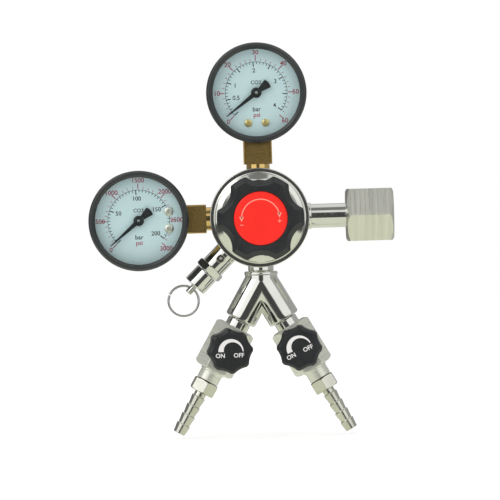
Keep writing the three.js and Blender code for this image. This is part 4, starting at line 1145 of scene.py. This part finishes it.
class Surroundings(NodeTree):
    """Paints the brightness of the room around the object as soft-edged panels in azimuth and elevation."""

    def __init__(self, tree):
        super().__init__(tree)
        self.direction = self.add("ShaderNodeTexCoord").outputs["Generated"]
        split = self.add("ShaderNodeSeparateXYZ")
        self.link(self.direction, split.inputs["Vector"])
        toward_front = self.maths("MULTIPLY", split.outputs["Y"], -1)
        self.azimuth = self.maths("ARCTAN2", split.outputs["X"], toward_front)
        self.elevation = self.maths("ARCSINE", split.outputs["Z"])

    def feed(self, value, socket):
        if isinstance(value, (int, float)):
            socket.default_value = value
        else:
            self.link(value, socket)

    def maths(self, operation, first, second=0):
        node = self.add("ShaderNodeMath", operation=operation)
        self.feed(first, node.inputs[0])
        self.feed(second, node.inputs[1])
        return node.outputs["Value"]

    def step_up(self, value, at, softness):
        """0 below the angle and 1 above it, in degrees."""
        node = self.add("ShaderNodeMapRange", interpolation_type="SMOOTHSTEP")
        self.link(value, node.inputs["Value"])
        node.inputs["From Min"].default_value = math.radians(at - softness)
        node.inputs["From Max"].default_value = math.radians(at + softness)
        return node.outputs["Result"]

    def window(self, value, low, high, softness):
        above = self.step_up(value, low, softness)
        beyond = self.step_up(value, high, softness)
        return self.maths("SUBTRACT", above, beyond)

    def panel(self, level, azimuths, elevations, new_level, softness, mirrored):
        """The level so far, with one panel of a new level painted over it."""
        azimuth = self.maths("ABSOLUTE", self.azimuth) if mirrored else self.azimuth
        across = self.window(azimuth, *azimuths, softness)
        up = self.window(self.elevation, *elevations, softness)
        cover = self.maths("MULTIPLY", across, up)
        change = self.maths("MULTIPLY", cover, self.maths("SUBTRACT", new_level, level))
        return self.maths("ADD", level, change)


def add_world():
    """White behind the object, a soft even light on it, and a room of panels for it to mirror."""
    world = bpy.data.worlds.new("studio")
    bpy.context.scene.world = world
    world.use_nodes = True
    world.cycles.sampling_method = "NONE"
    sky = Surroundings(world.node_tree)

    level = ROOM_LEVEL
    for panel in PANELS:
        level = sky.panel(level, *panel)
    mirrored_room = sky.add("ShaderNodeBackground")
    above_floor = sky.step_up(sky.elevation, at=-20, softness=4)
    sky.link(sky.mixed(above_floor, FLOOR_TINT, ROOM_TINT), mirrored_room.inputs["Color"])
    sky.link(level, mirrored_room.inputs["Strength"])

    lean = sky.add("ShaderNodeVectorMath", operation="DOT_PRODUCT")
    sky.link(sky.direction, lean.inputs[0])
    lean.inputs[1].default_value = LIGHT_FROM
    soft_light = sky.add("ShaderNodeBackground")
    spread = sky.ranged(lean.outputs["Value"], 0.62, 1.2, -1, 1)
    sky.link(spread, soft_light.inputs["Strength"])

    white = sky.add("ShaderNodeBackground")
    white.inputs["Color"].default_value = (1, 1, 1, 1)
    ray = sky.add("ShaderNodeLightPath")
    shader = mirrored_room.outputs["Background"]
    for kind, light in (("Is Diffuse Ray", soft_light), ("Is Camera Ray", white)):
        mix = sky.add("ShaderNodeMixShader")
        sky.link(ray.outputs[kind], mix.inputs["Fac"])
        sky.link(shader, mix.inputs[1])
        sky.link(light.outputs["Background"], mix.inputs[2])
        shader = mix.outputs["Shader"]
    sky.link(shader, sky.tree.nodes["World Output"].inputs["Surface"])


def add_camera():
    data = bpy.data.cameras.new("camera")
    data.sensor_width = 36
    data.lens = data.sensor_width * CAMERA_DISTANCE / PICTURE_WIDTH
    data.clip_start = 0.05
    data.clip_end = 20
    camera = linked(data, "camera")
    back = heading(-CAMERA_LEFT, CAMERA_UP)
    place = Matrix.Translation(CENTRE * MM + AIM_OFFSET + back * CAMERA_DISTANCE)
    facing = (-back).to_track_quat("-Z", "Y").to_matrix().to_4x4()
    camera.matrix_world = place @ facing @ turned(CAMERA_ROLL, "Z")
    bpy.context.scene.camera = camera


def build():
    add_camera()
    add_world()
    add_softbox()
    add_floor()
    add_body()
    add_bonnet()
    add_adjusting_knob()
    add_cap()
    add_inlet()
    add_nut()
    for prefix in GAUGES:
        add_gauge(prefix)
    add_relief_valve()
    add_outlet()
    add_wye()
    for side in VALVE_SIDE:
        add_valve(side)
    finish_inner_pieces()
    bpy.context.scene.view_settings.view_transform = "Standard"


build()
bpy.context.view_layer.update()
